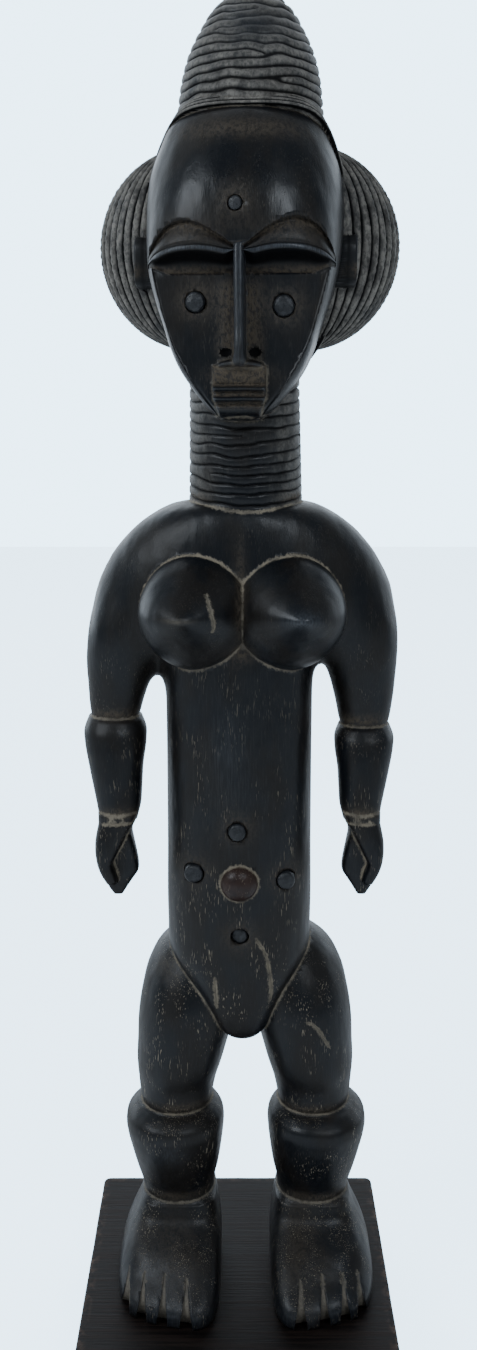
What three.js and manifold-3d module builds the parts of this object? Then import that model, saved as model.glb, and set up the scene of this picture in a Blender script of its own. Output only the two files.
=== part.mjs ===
// Attié figure: a standing woman carved from one block of dark wood, with seven small pegs set in
// round holes in the face and belly, on a plain display base.
// Millimetres, +Z up. The figure faces -Y, and "left" and "right" are the viewer's. The origin is
// the middle of the base's underside. Heights of the carving are measured from its soles.
import * as THREE from 'three';
import { mergeVertices } from 'three/addons/utils/BufferGeometryUtils.js';
import Module from 'manifold-3d';

const wasm = await Module();
wasm.setup();

// Driving dimensions
const FIGURE_HEIGHT = 540;
const BASE = { width: 135.8, depth: 122, height: 30, corner: 3, bevel: 0.8 };
const FIGURE_ON_BASE = { x: 1.9, y: 16.7 };
const GAP = 0.3;
const LEFT = -1;
const RIGHT = 1;

// The head is turned a little to the viewer's left on the neck, and the parts of the body stand a
// little off the axis, as cut by hand.
const HEAD_TURN = THREE.MathUtils.degToRad(-4.5);
const HEAD_X = 1.5;
const TORSO_X = -1.2;
const ARMS_X = -0.7;
const SHOULDERS_X = 0.8;
const THIGHS_X = 1.4;
const SHINS_X = 1.8;
const ELBOW_HEIGHT = 258;
const SHOULDER_HEIGHT = 300;
const RIGHT_ARM = { elbowDrop: 3.5, dropReach: 40, slimness: 0.95, shift: -0.5 };

const KNOT = { x: 1, ridges: 14, ridgeDepth: 0.8, low: 487, high: 536.5, root: 484 };
const BUN = { x: 21.3, y: 16, z: 443.8, width: 38.3, depth: 23.5, height: 38.8, ridges: 14, ridgeDepth: 0.9 };
const EAR = { x: 37.2, half: 3, bowlHalf: 2 };
// The plane of the cheeks passes through this height and depth and leans by this angle.
const CHEEKS = { y: -30, z: 436, lean: Math.atan2(4.6, 52) };
const BROW = { hollowDepth: 1.8, lidDepth: 0.7 };
const NOSE = { half: 2.4, wingHalf: 9.4, tipY: -38.6 };
const MOUTH_HALF = 10.2;
const NECK = {
  rings: 13, pitch: 4.1, bottom: 345.5, root: 335.5, half: 22.8, taper: 0.03, flatness: 1.5, ringDepth: 0.8,
  lean: THREE.MathUtils.degToRad(9),
};
// The cuts between the toes: their middles from the inner to the outer one, and each one's width at
// the floor, top, front end and length.
const TOES = {
  slots: [21.8, 31.8, 41.4, 49.8], width: 4.6, narrowing: 0.4, apex: 16, tipY: -43.5, sweep: 1.2, length: 18,
};
const HOLE_DEPTH = 8;
const PEG_SIDES = 10;

// Depths in Y that lie clear in front of the face and belly, and inside the head.
const IN_FRONT = -60;
const INSIDE_HEAD = -14;

const WOOD_COLOUR = 0x17181b;
const PEG_COLOUR = 0x26282b;
const BASE_COLOUR = 0x1d1412;

// Solids and meshes

function toSolid(geometry) {
  const bare = geometry.clone();
  bare.deleteAttribute('normal');
  bare.deleteAttribute('uv');
  const merged = mergeVertices(bare, 1e-4);
  return new wasm.Manifold(new wasm.Mesh({
    numProp: 3,
    vertProperties: new Float32Array(merged.attributes.position.array),
    triVerts: new Uint32Array(merged.index.array),
  }));
}

function toGeometry(solid) {
  const mesh = solid.getMesh();
  const geometry = new THREE.BufferGeometry();
  geometry.setAttribute('position', new THREE.BufferAttribute(new Float32Array(mesh.vertProperties), 3));
  geometry.setIndex(new THREE.BufferAttribute(new Uint32Array(mesh.triVerts), 1));
  geometry.computeVertexNormals();
  return geometry;
}

function join(solids) {
  return solids.reduce((whole, next) => whole.add(next));
}

function placed(solid, matrix) {
  return toSolid(toGeometry(solid).applyMatrix4(matrix));
}

// A closed skin over a row of rings. The rings run from first to last, and each is a function of the
// turn that gives a point. Seen from the side of the first point, the turn runs anticlockwise.
function skin(rings, first, last, sides) {
  const geometry = new THREE.SphereGeometry(1, sides, rings.length + 1);
  const points = geometry.attributes.position;
  for (let i = 0; i < points.count; i += 1) {
    const row = Math.floor(i / (sides + 1));
    const turn = ((i % (sides + 1)) % sides) / sides * 2 * Math.PI;
    let point = row === 0 ? first : last;
    if (row > 0 && row <= rings.length) {
      point = rings[row - 1](turn);
    }
    points.setXYZ(i, ...point);
  }
  return toSolid(geometry);
}

function roundedPower(value, power) {
  return Math.sign(value) * Math.abs(value) ** (2 / power);
}

// Reads rows of sizes, listed from the bottom up, as smooth curves of their first entry, the height.
function curvesOf(rows) {
  const size = rows[0].length - 1;
  const heights = rows.map((row) => row[0]);
  const values = rows.flatMap((row) => row.slice(1));
  const curve = new THREE.CubicInterpolant(heights, values, size);
  return (height) => Array.from(curve.evaluate(height));
}

// A body whose level sections are rounded ovals. Each row of the form gives: height, middle in X,
// middle in Y, half width, depth to the front, depth to the back and, where it changes with height,
// the squareness of the front. squareness is the power of the oval: 2 is an ellipse, more is boxier.
function upright(form, { sides, steps, squareness = 2.2, frontSquareness = squareness, top, bottom }) {
  const at = curvesOf(form);
  const low = form[0][0];
  const high = form[form.length - 1][0];
  const rings = [];
  for (let i = steps; i >= 0; i -= 1) {
    const height = low + (high - low) * i / steps;
    const [x, y, half, front, back, frontPower = frontSquareness] = at(height);
    rings.push((turn) => {
      const across = -Math.cos(turn);
      const along = -Math.sin(turn);
      const power = along < 0 ? frontPower : squareness;
      const depth = along < 0 ? front : back;
      const dy = depth * roundedPower(along, power);
      return [x + half * roundedPower(across, power), y + dy, height];
    });
  }
  return skin(rings, top, bottom, sides);
}

// The base

function makeBase() {
  const halfWidth = BASE.width / 2 - BASE.bevel;
  const halfDepth = BASE.depth / 2 - BASE.bevel;
  const r = BASE.corner - BASE.bevel;
  const outline = new THREE.Shape();
  outline.moveTo(halfWidth - r, -halfDepth);
  outline.absarc(halfWidth - r, -halfDepth + r, r, -Math.PI / 2, 0);
  outline.absarc(halfWidth - r, halfDepth - r, r, 0, Math.PI / 2);
  outline.absarc(-halfWidth + r, halfDepth - r, r, Math.PI / 2, Math.PI);
  outline.absarc(-halfWidth + r, -halfDepth + r, r, Math.PI, 1.5 * Math.PI);
  outline.closePath();
  const slab = new THREE.ExtrudeGeometry(outline, {
    depth: BASE.height - 2 * BASE.bevel,
    bevelThickness: BASE.bevel,
    bevelSize: BASE.bevel,
    bevelSegments: 1,
    curveSegments: 2,
  });
  slab.translate(0, 0, BASE.bevel);
  return toSolid(slab);
}

// Torso, shoulders and breasts

function makeTorso() {
  const form = [
    [116.5, 1.5, 0, 8.6, 22, 8],
    [119, 1.4, 0, 11.6, 24, 13],
    [125, 1.1, 0, 15, 26, 17],
    [134, 0.7, 0, 20, 27.6, 20],
    [145, 0.3, 0, 26.2, 28.6, 22],
    [154, 0, 0, 30.4, 29.3, 23],
    [166, 0, 0, 31, 29.8, 23],
    [205, 0, 0, 30.8, 30, 23],
    [260, 0, 0, 30.6, 28.5, 23],
    [300, 0, 0, 31, 27, 23],
    [336, 0, 0, 28, 24, 20],
  ];
  return upright(form, {
    sides: 22, steps: 9, squareness: 2.4, frontSquareness: 2.5, top: [0, 0, 338], bottom: [1.5, -12, 115],
  });
}

function makeShoulders() {
  const form = [
    [282, 0, 0, 38, 13, 13],
    [285, 0, 0, 46, 17, 17],
    [290, 0, 0, 54, 21.4, 20.6],
    [297, 0, 0, 60.8, 25.4, 24],
    [307, 0, 0, 62.2, 27.4, 25.6],
    [317, 0, 0, 59, 27.6, 25.5],
    [322, 0, 0, 56.2, 27.2, 25],
    [327, 0, 0, 53.4, 26.6, 24.5],
    [332, 0, 0, 49, 26, 23.5],
    [337, 0, 0, 44, 25.2, 22.5],
    [341.5, 0, 0, 37.6, 24.2, 21.2],
    [344, 0, 0, 33.2, 23.2, 20.4],
    [346.5, 0, 0, 27.4, 22.4, 19.6],
  ];
  return upright(form, {
    sides: 24, steps: 9, squareness: 2.1, top: [0, 0, 348], bottom: [0, 0, 281],
  });
}

function makeBreast(side) {
  const middle = { x: side * 17.4, z: 304 };
  const apex = { x: side * 22.8, y: -50.7, z: 305.5 };
  const halfWidth = 22.6;
  const halfHeight = 23;
  const rootY = -20;
  const backY = -14;
  const profile = [
    [-49.6, 0.2],
    [-45, 0.5],
    [-38, 0.81],
    [-31, 0.97],
    [-16, 1.0],
  ];
  const rings = profile.map(([y, share]) => (turn) => {
    const lean = Math.min(1, Math.max(0, (y - rootY) / (apex.y - rootY)));
    const x = middle.x + (apex.x - middle.x) * lean - halfWidth * share * Math.cos(turn);
    const z = middle.z + (apex.z - middle.z) * lean - halfHeight * share * Math.sin(turn);
    return [x, y, z];
  });
  return skin(rings, [apex.x, apex.y, apex.z], [middle.x, backY, middle.z], 18);
}

function makeNavel() {
  const boss = new THREE.SphereGeometry(1, 12, 8);
  boss.scale(7.8, 6, 7.8);
  boss.translate(0, -29, 192.6);
  return toSolid(boss);
}

// Neck: a leaning column of carved rings

function makeNeck() {
  const bottomY = -1;
  const middleY = (height) => bottomY - Math.tan(NECK.lean) * (height - NECK.bottom);
  const half = (height) => NECK.half - (height - NECK.bottom) * NECK.taper;
  const rings = [];
  const ringAt = (height, inset) => (turn) => {
    const dy = -(half(height) - NECK.flatness - inset) * Math.sin(turn);
    const x = -(half(height) - inset) * Math.cos(turn);
    return [x, middleY(height) + dy, height + dy * Math.tan(NECK.lean)];
  };
  for (let i = NECK.rings; i > 0; i -= 1) {
    const groove = NECK.bottom + i * NECK.pitch;
    rings.push(ringAt(groove, NECK.ringDepth));
    rings.push(ringAt(groove - NECK.pitch / 2, 0));
  }
  rings.push(ringAt(NECK.bottom, NECK.ringDepth));
  rings.push(ringAt(NECK.root + 2, 0));
  const topHeight = NECK.bottom + NECK.rings * NECK.pitch + 1;
  return skin(rings, [0, middleY(topHeight), topHeight], [0, bottomY, NECK.root], 14);
}

// Head, in its own frame: X = 0 is the middle of the face, before the turn of the head

const SKULL = [
  [378.5, 0, -20, 8, 13.5, 4, 2.6],
  [382, 0, -14, 12.5, 21.5, 6, 3],
  [386, 0, -10, 15.8, 26.5, 8, 3.6],
  [391.7, 0, -6, 20, 30.8, 10, 4],
  [397, 0, -4, 23.4, 32.8, 12, 4.2],
  [404, 0, -2, 26.6, 34.8, 14, 4.3],
  [412, 0, 0, 29.2, 36.9, 16, 4.4],
  [421, 0, 0, 32.3, 37.2, 18, 4.5],
  [430, 0, 0, 35, 37.6, 20, 4.2],
  [440, 0, 0, 36.7, 37.8, 22, 3.4],
  [450, 0, 0, 37.3, 37.6, 23, 2.8],
  [459, 0, 0, 37.2, 36.2, 23, 2.5],
  [468, 0, 0, 36, 33.2, 22, 2.3],
  [478, 0, 0, 32.4, 28.6, 20, 2.2],
  [486, 0, 0, 28.2, 23, 18, 2.2],
  [493, 0, 0, 20, 15, 14, 2.2],
];

const HAIR_CAP = [
  [401, 0, 6, 25, 10, 14],
  [408, 0, 4, 30, 20, 20],
  [418, 0, 2, 33.8, 32, 25],
  [430, 0, 0, 36.4, 38, 29],
  [445, 0, 0, 38.3, 39, 31],
  [459, 0, 0, 38.3, 37.6, 31],
  [468, 0, 0, 37.3, 34.4, 29.5],
  [478, 0.5, 0, 33.8, 29.8, 27],
  [486, 1, 0, 29.4, 24.2, 24],
  [492, 1, 0, 25, 18.5, 21],
];

function makeSkull(inset) {
  const form = SKULL.map(([z, x, y, half, front, back, power]) => (
    [z, x, y, half - inset, front - inset, back, power]
  ));
  return upright(form, {
    sides: 28, steps: 12, squareness: 2.3, top: [0, 0, 496 - inset], bottom: [0, -22, 377],
  });
}

// The hair cap is everything behind the hairline, which runs over the brow and down in front of the ears.
function makeHairCap() {
  const cap = upright(HAIR_CAP, {
    sides: 22, steps: 7, squareness: 2.2, frontSquareness: 2.7, top: [0, 2, 494], bottom: [0, 8, 399],
  });
  const hairline = new THREE.Shape();
  hairline.moveTo(-60, 380);
  hairline.lineTo(10, 380);
  hairline.lineTo(4, 415);
  hairline.quadraticCurveTo(-1, 440, 0, 462);
  hairline.quadraticCurveTo(0, 479, -14, 487);
  hairline.lineTo(-21, 489.5);
  hairline.lineTo(-60, 491);
  hairline.closePath();
  const clearOfHead = 60;
  return cap.subtract(throughX(hairline, clearOfHead, 4));
}

// An outline drawn in Y and Z, extruded the same way to both sides of X = 0.
function throughX(outline, half, curveSegments = 6) {
  const block = new THREE.ExtrudeGeometry(outline, { depth: 2 * half, bevelEnabled: false, curveSegments });
  const turn = new THREE.Matrix4().makeBasis(
    new THREE.Vector3(0, 1, 0),
    new THREE.Vector3(0, 0, 1),
    new THREE.Vector3(1, 0, 0),
  );
  block.applyMatrix4(turn);
  block.translate(-half, 0, 0);
  return toSolid(block);
}

// An outline drawn in X and Z, extruded from one depth in Y back to another.
function throughY(outline, front, back, curveSegments = 6) {
  const depth = back - front;
  const block = new THREE.ExtrudeGeometry(outline, { depth, bevelEnabled: false, curveSegments });
  block.rotateX(Math.PI / 2);
  block.translate(0, back, 0);
  return toSolid(block);
}

function makeTopKnot() {
  const form = curvesOf([
    [484, 6, 29.4, 25],
    [490, 7, 28.2, 26],
    [496, 8, 27.6, 25.5],
    [505, 10, 26.4, 24],
    [514, 12.5, 24, 21.6],
    [523, 15.5, 20, 18.4],
    [531, 17.8, 15, 14],
    [537, 19, 8.4, 8],
  ]);
  const pitch = (KNOT.high - KNOT.low) / KNOT.ridges;
  const ringAt = (height, inset) => {
    const [y, half, depth] = form(height);
    return (turn) => {
      const x = KNOT.x - (half - inset) * Math.cos(turn);
      return [x, y - (depth - inset) * Math.sin(turn), height];
    };
  };
  const rings = [];
  for (let i = KNOT.ridges; i > 0; i -= 1) {
    rings.push(ringAt(KNOT.low + i * pitch, KNOT.ridgeDepth));
    rings.push(ringAt(KNOT.low + (i - 0.5) * pitch, 0));
  }
  rings.push(ringAt(KNOT.low, KNOT.ridgeDepth));
  rings.push(ringAt(KNOT.root, 0));
  return skin(rings, [KNOT.x, 19, FIGURE_HEIGHT], [KNOT.x, 6, KNOT.root - 4], 14);
}

// A side bun: a lobe behind the ear, its ridges running from a pole above to a pole below.
function makeBun(side) {
  const middleX = side * BUN.x;
  const squareness = 2.3;
  const levels = 10;
  const sides = 2 * BUN.ridges;
  const rings = [];
  for (let i = 1; i < levels; i += 1) {
    const fall = i / levels * Math.PI;
    rings.push((turn) => {
      const inset = Math.round(turn / (2 * Math.PI) * sides) % 2 === 0 ? 0 : BUN.ridgeDepth;
      const spread = Math.sin(fall);
      const x = middleX - (BUN.width - inset) * spread * roundedPower(Math.cos(turn), squareness);
      const y = BUN.y - (BUN.depth - inset) * spread * roundedPower(Math.sin(turn), squareness);
      return [x, y, BUN.z + BUN.height * Math.cos(fall)];
    });
  }
  const top = [middleX, BUN.y, BUN.z + BUN.height];
  const bottom = [middleX, BUN.y, BUN.z - BUN.height];
  return skin(rings, top, bottom, sides);
}

function makeEar(side) {
  const outline = new THREE.Shape();
  outline.moveTo(-2, 446.5);
  outline.quadraticCurveTo(-9, 445.5, -8.5, 436);
  outline.lineTo(-8.5, 429);
  outline.lineTo(-3, 427.5);
  outline.lineTo(2, 433);
  outline.closePath();
  const bowl = new THREE.Shape();
  bowl.moveTo(-2.5, 444);
  bowl.quadraticCurveTo(-6.6, 443, -6.4, 436.5);
  bowl.lineTo(-2, 436.5);
  bowl.closePath();
  const hollow = throughX(bowl, EAR.bowlHalf, 3).translate([side * EAR.half, 0, 0]);
  return throughX(outline, EAR.half, 3).subtract(hollow).translate([side * EAR.x, 0, 0]);
}

// The face: brow arches and lids over cheeks cut back to a plane, with a long nose and a block mouth

// The cheeks are cut back to one plane inside a rim. The plane leans: its top edge lies deeper.
function cheekCut() {
  const outline = new THREE.Shape();
  outline.moveTo(-8.2, 380);
  outline.lineTo(8.2, 380);
  outline.lineTo(33, 434.4);
  outline.quadraticCurveTo(18, 440, 2, 437.5);
  outline.lineTo(-2, 437.5);
  outline.quadraticCurveTo(-18, 440, -33, 434.4);
  outline.closePath();
  const block = throughY(outline, IN_FRONT, CHEEKS.y, 5);
  const pivot = new THREE.Matrix4().makeTranslation(0, CHEEKS.y, CHEEKS.z);
  const turn = new THREE.Matrix4().makeRotationX(-CHEEKS.lean);
  const back = new THREE.Matrix4().makeTranslation(0, -CHEEKS.y, -CHEEKS.z);
  return placed(block, pivot.multiply(turn).multiply(back));
}

// Under the arched brow the surface steps back, and the lid below it swells forward again.
function browCut(side) {
  const hollow = new THREE.Shape();
  hollow.moveTo(side * 1.5, 439.5);
  hollow.quadraticCurveTo(side * 17, 459.5, side * 34.5, 435.5);
  hollow.quadraticCurveTo(side * 18, 447.5, side * 3, 440.5);
  hollow.closePath();
  const lid = new THREE.Shape();
  lid.moveTo(side * 3, 440.5);
  lid.quadraticCurveTo(side * 18, 447.5, side * 34.5, 435.5);
  lid.lineTo(side * 34.5, 432);
  lid.lineTo(side * 3, 436);
  lid.closePath();
  const deep = throughY(hollow, IN_FRONT, INSIDE_HEAD, 7).subtract(makeSkull(BROW.hollowDepth));
  const shallow = throughY(lid, IN_FRONT, INSIDE_HEAD, 7).subtract(makeSkull(BROW.lidDepth));
  return deep.add(shallow);
}

function makeNose() {
  const bridge = new THREE.Shape();
  bridge.moveTo(-24, 442);
  bridge.lineTo(-37.6, 442);
  bridge.lineTo(-43, 402);
  bridge.lineTo(-41.5, 399.5);
  bridge.lineTo(-26, 397);
  bridge.closePath();
  const ridge = throughX(bridge, NOSE.half);
  const wings = new THREE.Shape();
  wings.moveTo(-NOSE.wingHalf, 396.6);
  wings.lineTo(NOSE.wingHalf, 396.6);
  wings.lineTo(NOSE.wingHalf - 1, 400.6);
  wings.quadraticCurveTo(3.2, 400.5, NOSE.half, 406);
  wings.lineTo(-NOSE.half, 406);
  wings.quadraticCurveTo(-3.2, 400.5, -NOSE.wingHalf + 1, 400.6);
  wings.closePath();
  return ridge.add(throughY(wings, NOSE.tipY, INSIDE_HEAD, 3));
}

function makeMouth() {
  const profile = new THREE.Shape();
  profile.moveTo(-26, 391.6);
  profile.lineTo(-38.4, 391.6);
  profile.lineTo(-38.9, 389);
  profile.lineTo(-37.5, 388.4);
  profile.lineTo(-37.5, 387);
  profile.lineTo(-39, 386.6);
  profile.lineTo(-38.8, 384.6);
  profile.lineTo(-37.4, 384.2);
  profile.lineTo(-37.6, 380.8);
  profile.lineTo(-30, 378.6);
  profile.lineTo(-22, 380);
  profile.closePath();
  return throughX(profile, MOUTH_HALF);
}

function makeHead() {
  let head = makeSkull(0).add(makeNeck()).subtract(cheekCut());
  head = head.subtract(browCut(LEFT)).subtract(browCut(RIGHT));
  head = join([
    head,
    makeNose(),
    makeMouth(),
    makeHairCap(),
    makeTopKnot(),
    makeBun(LEFT),
    makeBun(RIGHT),
    makeEar(LEFT),
    makeEar(RIGHT),
  ]);
  return head;
}

// Arms: a bent tube of level sections, with a groove at the elbow and wrist

// The arm on the right is a little closer, its elbow sits lower and it is slimmer below the elbow.
// The rows of an arm's form have one depth, to the front and to the back.
function armPart(side, form, { slimness = 1, top, bottom, ...shape }) {
  const onRight = side === RIGHT;
  const nearElbow = (z) => Math.max(0, 1 - Math.abs(z - ELBOW_HEIGHT) / RIGHT_ARM.dropReach);
  const drop = (z) => (onRight ? RIGHT_ARM.elbowDrop * nearElbow(z) : 0);
  const slim = onRight ? slimness : 1;
  const across = (x, z) => {
    const share = THREE.MathUtils.clamp((z - ELBOW_HEIGHT) / (SHOULDER_HEIGHT - ELBOW_HEIGHT), 0, 1);
    const shift = THREE.MathUtils.lerp(ARMS_X, SHOULDERS_X, share);
    return side * x + shift + (onRight ? RIGHT_ARM.shift : 0);
  };
  const rows = form.map(([z, x, y, half, depth]) => (
    [z - drop(z), across(x, z), y, half * slim, depth, depth]
  ));
  return upright(rows, {
    ...shape,
    top: [across(top[0], top[2]), top[1], top[2] - drop(top[2])],
    bottom: [across(bottom[0], bottom[2]), bottom[1], bottom[2] - drop(bottom[2])],
  });
}

function makeArm(side) {
  const { slimness } = RIGHT_ARM;
  const upper = armPart(side, [
    [254, 52.5, -2.5, 9, 9],
    [259, 52.4, -2, 10.6, 10.4],
    [266, 52, -1.2, 12.1, 12.8],
    [277, 50.6, -1, 14.4, 15.6],
    [287, 49.6, -0.8, 15.6, 18],
    [300, 47.6, -0.4, 16, 19],
    [318, 42, 0.6, 14, 15],
  ], { sides: 12, steps: 5, top: [40, 1, 324], bottom: [52.5, -2.5, 252] });
  const fore = armPart(side, [
    [215, 51.3, -11, 8, 8.6],
    [221, 51.1, -9.6, 9.3, 9.6],
    [227, 51.5, -8.4, 10.1, 10.4],
    [237, 52.2, -6.4, 11.4, 11.8],
    [247, 52.4, -4.4, 12.9, 12.9],
    [252, 52.5, -3.4, 13, 12.8],
    [257, 52.5, -2.4, 11.2, 10.9],
  ], { sides: 12, steps: 6, slimness, top: [52.5, -2.4, 259.5], bottom: [51.4, -11, 212] });
  const hand = armPart(side, [
    [182, 52.2, -9, 2.6, 5],
    [186, 52.2, -9, 4.8, 6.6],
    [191, 52.2, -9, 6.7, 7.6],
    [198, 53, -9, 7.5, 8],
    [203, 53.4, -9.4, 7.1, 8],
    [208, 53.6, -10, 6.7, 8],
    [213, 52.2, -10.6, 7.6, 8.2],
    [218, 51.3, -10.8, 8.3, 8.6],
  ], { sides: 10, steps: 6, squareness: 3, slimness, top: [51.3, -10.6, 221], bottom: [52.2, -9, 179.4] });
  const thumb = armPart(side, [
    [190, 54.2, -17, 2.6, 3],
    [196, 55.4, -17.4, 3.2, 3.8],
    [204, 56.4, -16, 4.4, 5],
    [212, 54.4, -14.4, 6, 5.4],
  ], { sides: 8, steps: 3, slimness, top: [53, -12, 217], bottom: [54, -16.6, 188.6] });
  return join([upper, fore, hand, thumb]);
}

// Legs: heavy thighs, flaring calves and big feet with wedge-cut toes

function makeLeg(side) {
  const atSide = (form, shift) => form.map(([z, x, y, half, front, back]) => (
    [z, side * x + shift, y, half, front, back]
  ));
  const thigh = upright(atSide([
    [76, 30.6, -3, 15, 16, 15],
    [82, 30.8, -3, 16.2, 18, 17],
    [90, 30.4, -1, 17.6, 21, 21],
    [98, 29.4, 0, 19.2, 24, 25],
    [108, 27.8, 1, 20.4, 25.6, 28],
    [118, 26.2, 2, 21.6, 26.4, 28],
    [131, 24, 3, 21.8, 25.6, 27],
    [142, 21.4, 4, 21.4, 22.6, 24],
    [152, 18, 5, 18.6, 17, 20],
    [158, 14, 6, 14.6, 11, 14],
  ], THIGHS_X), {
    sides: 14, steps: 7, top: [side * 12 + THIGHS_X, 6, 160.5], bottom: [side * 30.6 + THIGHS_X, -3, 73],
  });
  const calf = upright(atSide([
    [30, 30.2, -4, 15.6, 15.4, 13],
    [39, 30.8, -4, 16.6, 16.8, 14],
    [48, 31, -5, 18.6, 19, 16],
    [58, 31.4, -6, 20.4, 21, 17.6],
    [66, 31.8, -6, 21.7, 22.6, 18.6],
    [71, 31.9, -6, 22, 23.2, 19],
    [75.5, 31.8, -6, 20.8, 21.8, 18],
    [79, 31.4, -5, 17.4, 18, 16],
  ], SHINS_X), {
    sides: 14, steps: 7, top: [side * 31.2 + SHINS_X, -4, 80.5], bottom: [side * 30 + SHINS_X, -4, 26],
  });
  const foot = upright(atSide([
    [0, 34.2, -12, 22.4, 41.4, 28],
    [3, 34.2, -12, 23, 42, 28.6],
    [8, 34, -12, 22.9, 40.6, 28.4],
    [14, 33.2, -10, 22.2, 34.5, 26],
    [20, 32.2, -8, 20.8, 29, 24],
    [27, 31, -5, 18.4, 20, 20],
    [34, 30.4, -5, 16.6, 16.6, 18],
  ], SHINS_X), {
    sides: 20,
    steps: 6,
    squareness: 2.6,
    frontSquareness: 3,
    top: [side * 30.2 + SHINS_X, -5, 37],
    bottom: [side * 34.2 + SHINS_X, -14, 0],
  });
  return join([thigh, calf, foot.subtract(toeSlots(side).translate([SHINS_X, 0, 0]))]);
}

// Four wedge cuts between the toes, narrow on the instep and wide at the tips.
function toeSlots(side) {
  const wedges = TOES.slots.map((x, i) => {
    const half = (TOES.width - TOES.narrowing * i) / 2;
    const outline = new THREE.Shape();
    outline.moveTo(-half, -1);
    outline.lineTo(half, -1);
    outline.lineTo(0, TOES.apex);
    outline.closePath();
    const reach = TOES.tipY + TOES.sweep * i * i;
    return throughY(outline, reach - TOES.length, reach, 1).translate([side * x, 0, 0]);
  });
  return join(wedges);
}

// Pegs in the face and belly. Each has a place on the surface, a radius and how far its head stands out.
const FACE_PEGS = [
  { name: 'peg_forehead', x: -1.4, surface: -37.4, z: 453.4, radius: 2.5, proud: 0.8 },
  { name: 'peg_cheek_left', x: -16.4, surface: -31.2, z: 420.4, radius: 3.7, proud: 2.2 },
  { name: 'peg_cheek_right', x: 16, surface: -31.2, z: 419, radius: 3.9, proud: 2.2 },
];

const BELLY_PEGS = [
  { name: 'peg_belly_top', x: -0.9, surface: -29.8, z: 215, radius: 3.7, proud: 1.8 },
  { name: 'peg_belly_left', x: -18.6, surface: -26.8, z: 196, radius: 4, proud: 2 },
  { name: 'peg_belly_right', x: 19.2, surface: -26.6, z: 193, radius: 3.8, proud: 2 },
  { name: 'peg_belly_bottom', x: 0.2, surface: -29.8, z: 168.6, radius: 3.7, proud: -1.2 },
];

function alongDepth(radius, front, back, peg) {
  const rod = new THREE.CylinderGeometry(radius, radius, back - front, PEG_SIDES);
  rod.translate(peg.x, (front + back) / 2, peg.z);
  return toSolid(rod);
}

function pegHole(peg) {
  return alongDepth(peg.radius + GAP, IN_FRONT, peg.surface + HOLE_DEPTH, peg);
}

function makePeg(peg) {
  const front = peg.surface - peg.proud;
  const back = peg.surface + HOLE_DEPTH - GAP;
  const edge = peg.radius / 4;
  const profile = [
    new THREE.Vector2(0, front),
    new THREE.Vector2(peg.radius - edge, front + edge / 3),
    new THREE.Vector2(peg.radius, front + edge),
    new THREE.Vector2(peg.radius, back),
    new THREE.Vector2(0, back),
  ];
  const rod = new THREE.LatheGeometry(profile, PEG_SIDES);
  rod.translate(peg.x, 0, peg.z);
  return toSolid(rod);
}

// The whole carving, and every piece placed on the base

function turnHead(solid) {
  const turn = new THREE.Matrix4().makeRotationZ(HEAD_TURN);
  turn.setPosition(HEAD_X, 0, 0);
  return placed(solid, turn);
}

function shifted(solid, x) {
  return solid.translate([x, 0, 0]);
}

function makeFigure() {
  let head = makeHead();
  for (const peg of FACE_PEGS) {
    head = head.subtract(pegHole(peg));
  }
  let body = join([
    shifted(join([makeTorso(), makeNavel()]), TORSO_X),
    shifted(makeShoulders(), SHOULDERS_X),
    makeBreast(LEFT),
    makeBreast(RIGHT),
    makeArm(LEFT),
    makeArm(RIGHT),
    makeLeg(LEFT),
    makeLeg(RIGHT),
    turnHead(head),
  ]);
  for (const peg of BELLY_PEGS) {
    body = body.subtract(shifted(pegHole(peg), TORSO_X));
  }
  return body;
}

function named(name, solid, colour, roughness) {
  const material = new THREE.MeshStandardMaterial({ color: colour, roughness, metalness: 0 });
  const mesh = new THREE.Mesh(toGeometry(solid), material);
  mesh.name = name;
  return mesh;
}

const carving = new THREE.Group();
carving.position.set(FIGURE_ON_BASE.x, FIGURE_ON_BASE.y, BASE.height + GAP);
carving.add(named('figure', makeFigure(), WOOD_COLOUR, 0.4));
for (const peg of FACE_PEGS) {
  carving.add(named(peg.name, turnHead(makePeg(peg)), PEG_COLOUR, 0.5));
}
for (const peg of BELLY_PEGS) {
  carving.add(named(peg.name, shifted(makePeg(peg), TORSO_X), PEG_COLOUR, 0.5));
}

const whole = new THREE.Group();
whole.name = 'attie_figure';
whole.add(named('base', makeBase(), BASE_COLOUR, 0.45));
whole.add(carving);

export default whole;
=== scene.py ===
"""A standing figure carved from dark wood, with ridged hair and a ringed neck, on its display base.

The carving is worked out in millimetres in its own frame: soles at Z 0, facing -Y. Its forms are
stacks of level rounded sections, joined into one closed surface and put in their place on the base.
"""

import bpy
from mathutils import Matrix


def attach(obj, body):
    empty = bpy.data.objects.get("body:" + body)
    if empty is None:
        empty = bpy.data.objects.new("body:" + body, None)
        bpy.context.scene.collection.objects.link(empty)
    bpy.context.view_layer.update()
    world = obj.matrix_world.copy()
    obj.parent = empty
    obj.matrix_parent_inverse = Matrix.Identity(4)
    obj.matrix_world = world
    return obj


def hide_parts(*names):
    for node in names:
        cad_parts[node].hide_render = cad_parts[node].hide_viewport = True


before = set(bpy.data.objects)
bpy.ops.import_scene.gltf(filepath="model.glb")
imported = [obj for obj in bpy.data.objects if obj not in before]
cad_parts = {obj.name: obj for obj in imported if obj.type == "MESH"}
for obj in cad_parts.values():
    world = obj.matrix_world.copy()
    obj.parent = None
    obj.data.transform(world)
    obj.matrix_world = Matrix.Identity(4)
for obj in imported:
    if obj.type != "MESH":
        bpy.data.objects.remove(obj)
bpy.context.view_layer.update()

import logging
import math
from dataclasses import dataclass, field
from enum import Enum

import bpy
import numpy as np

log = logging.getLogger("figure")

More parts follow.
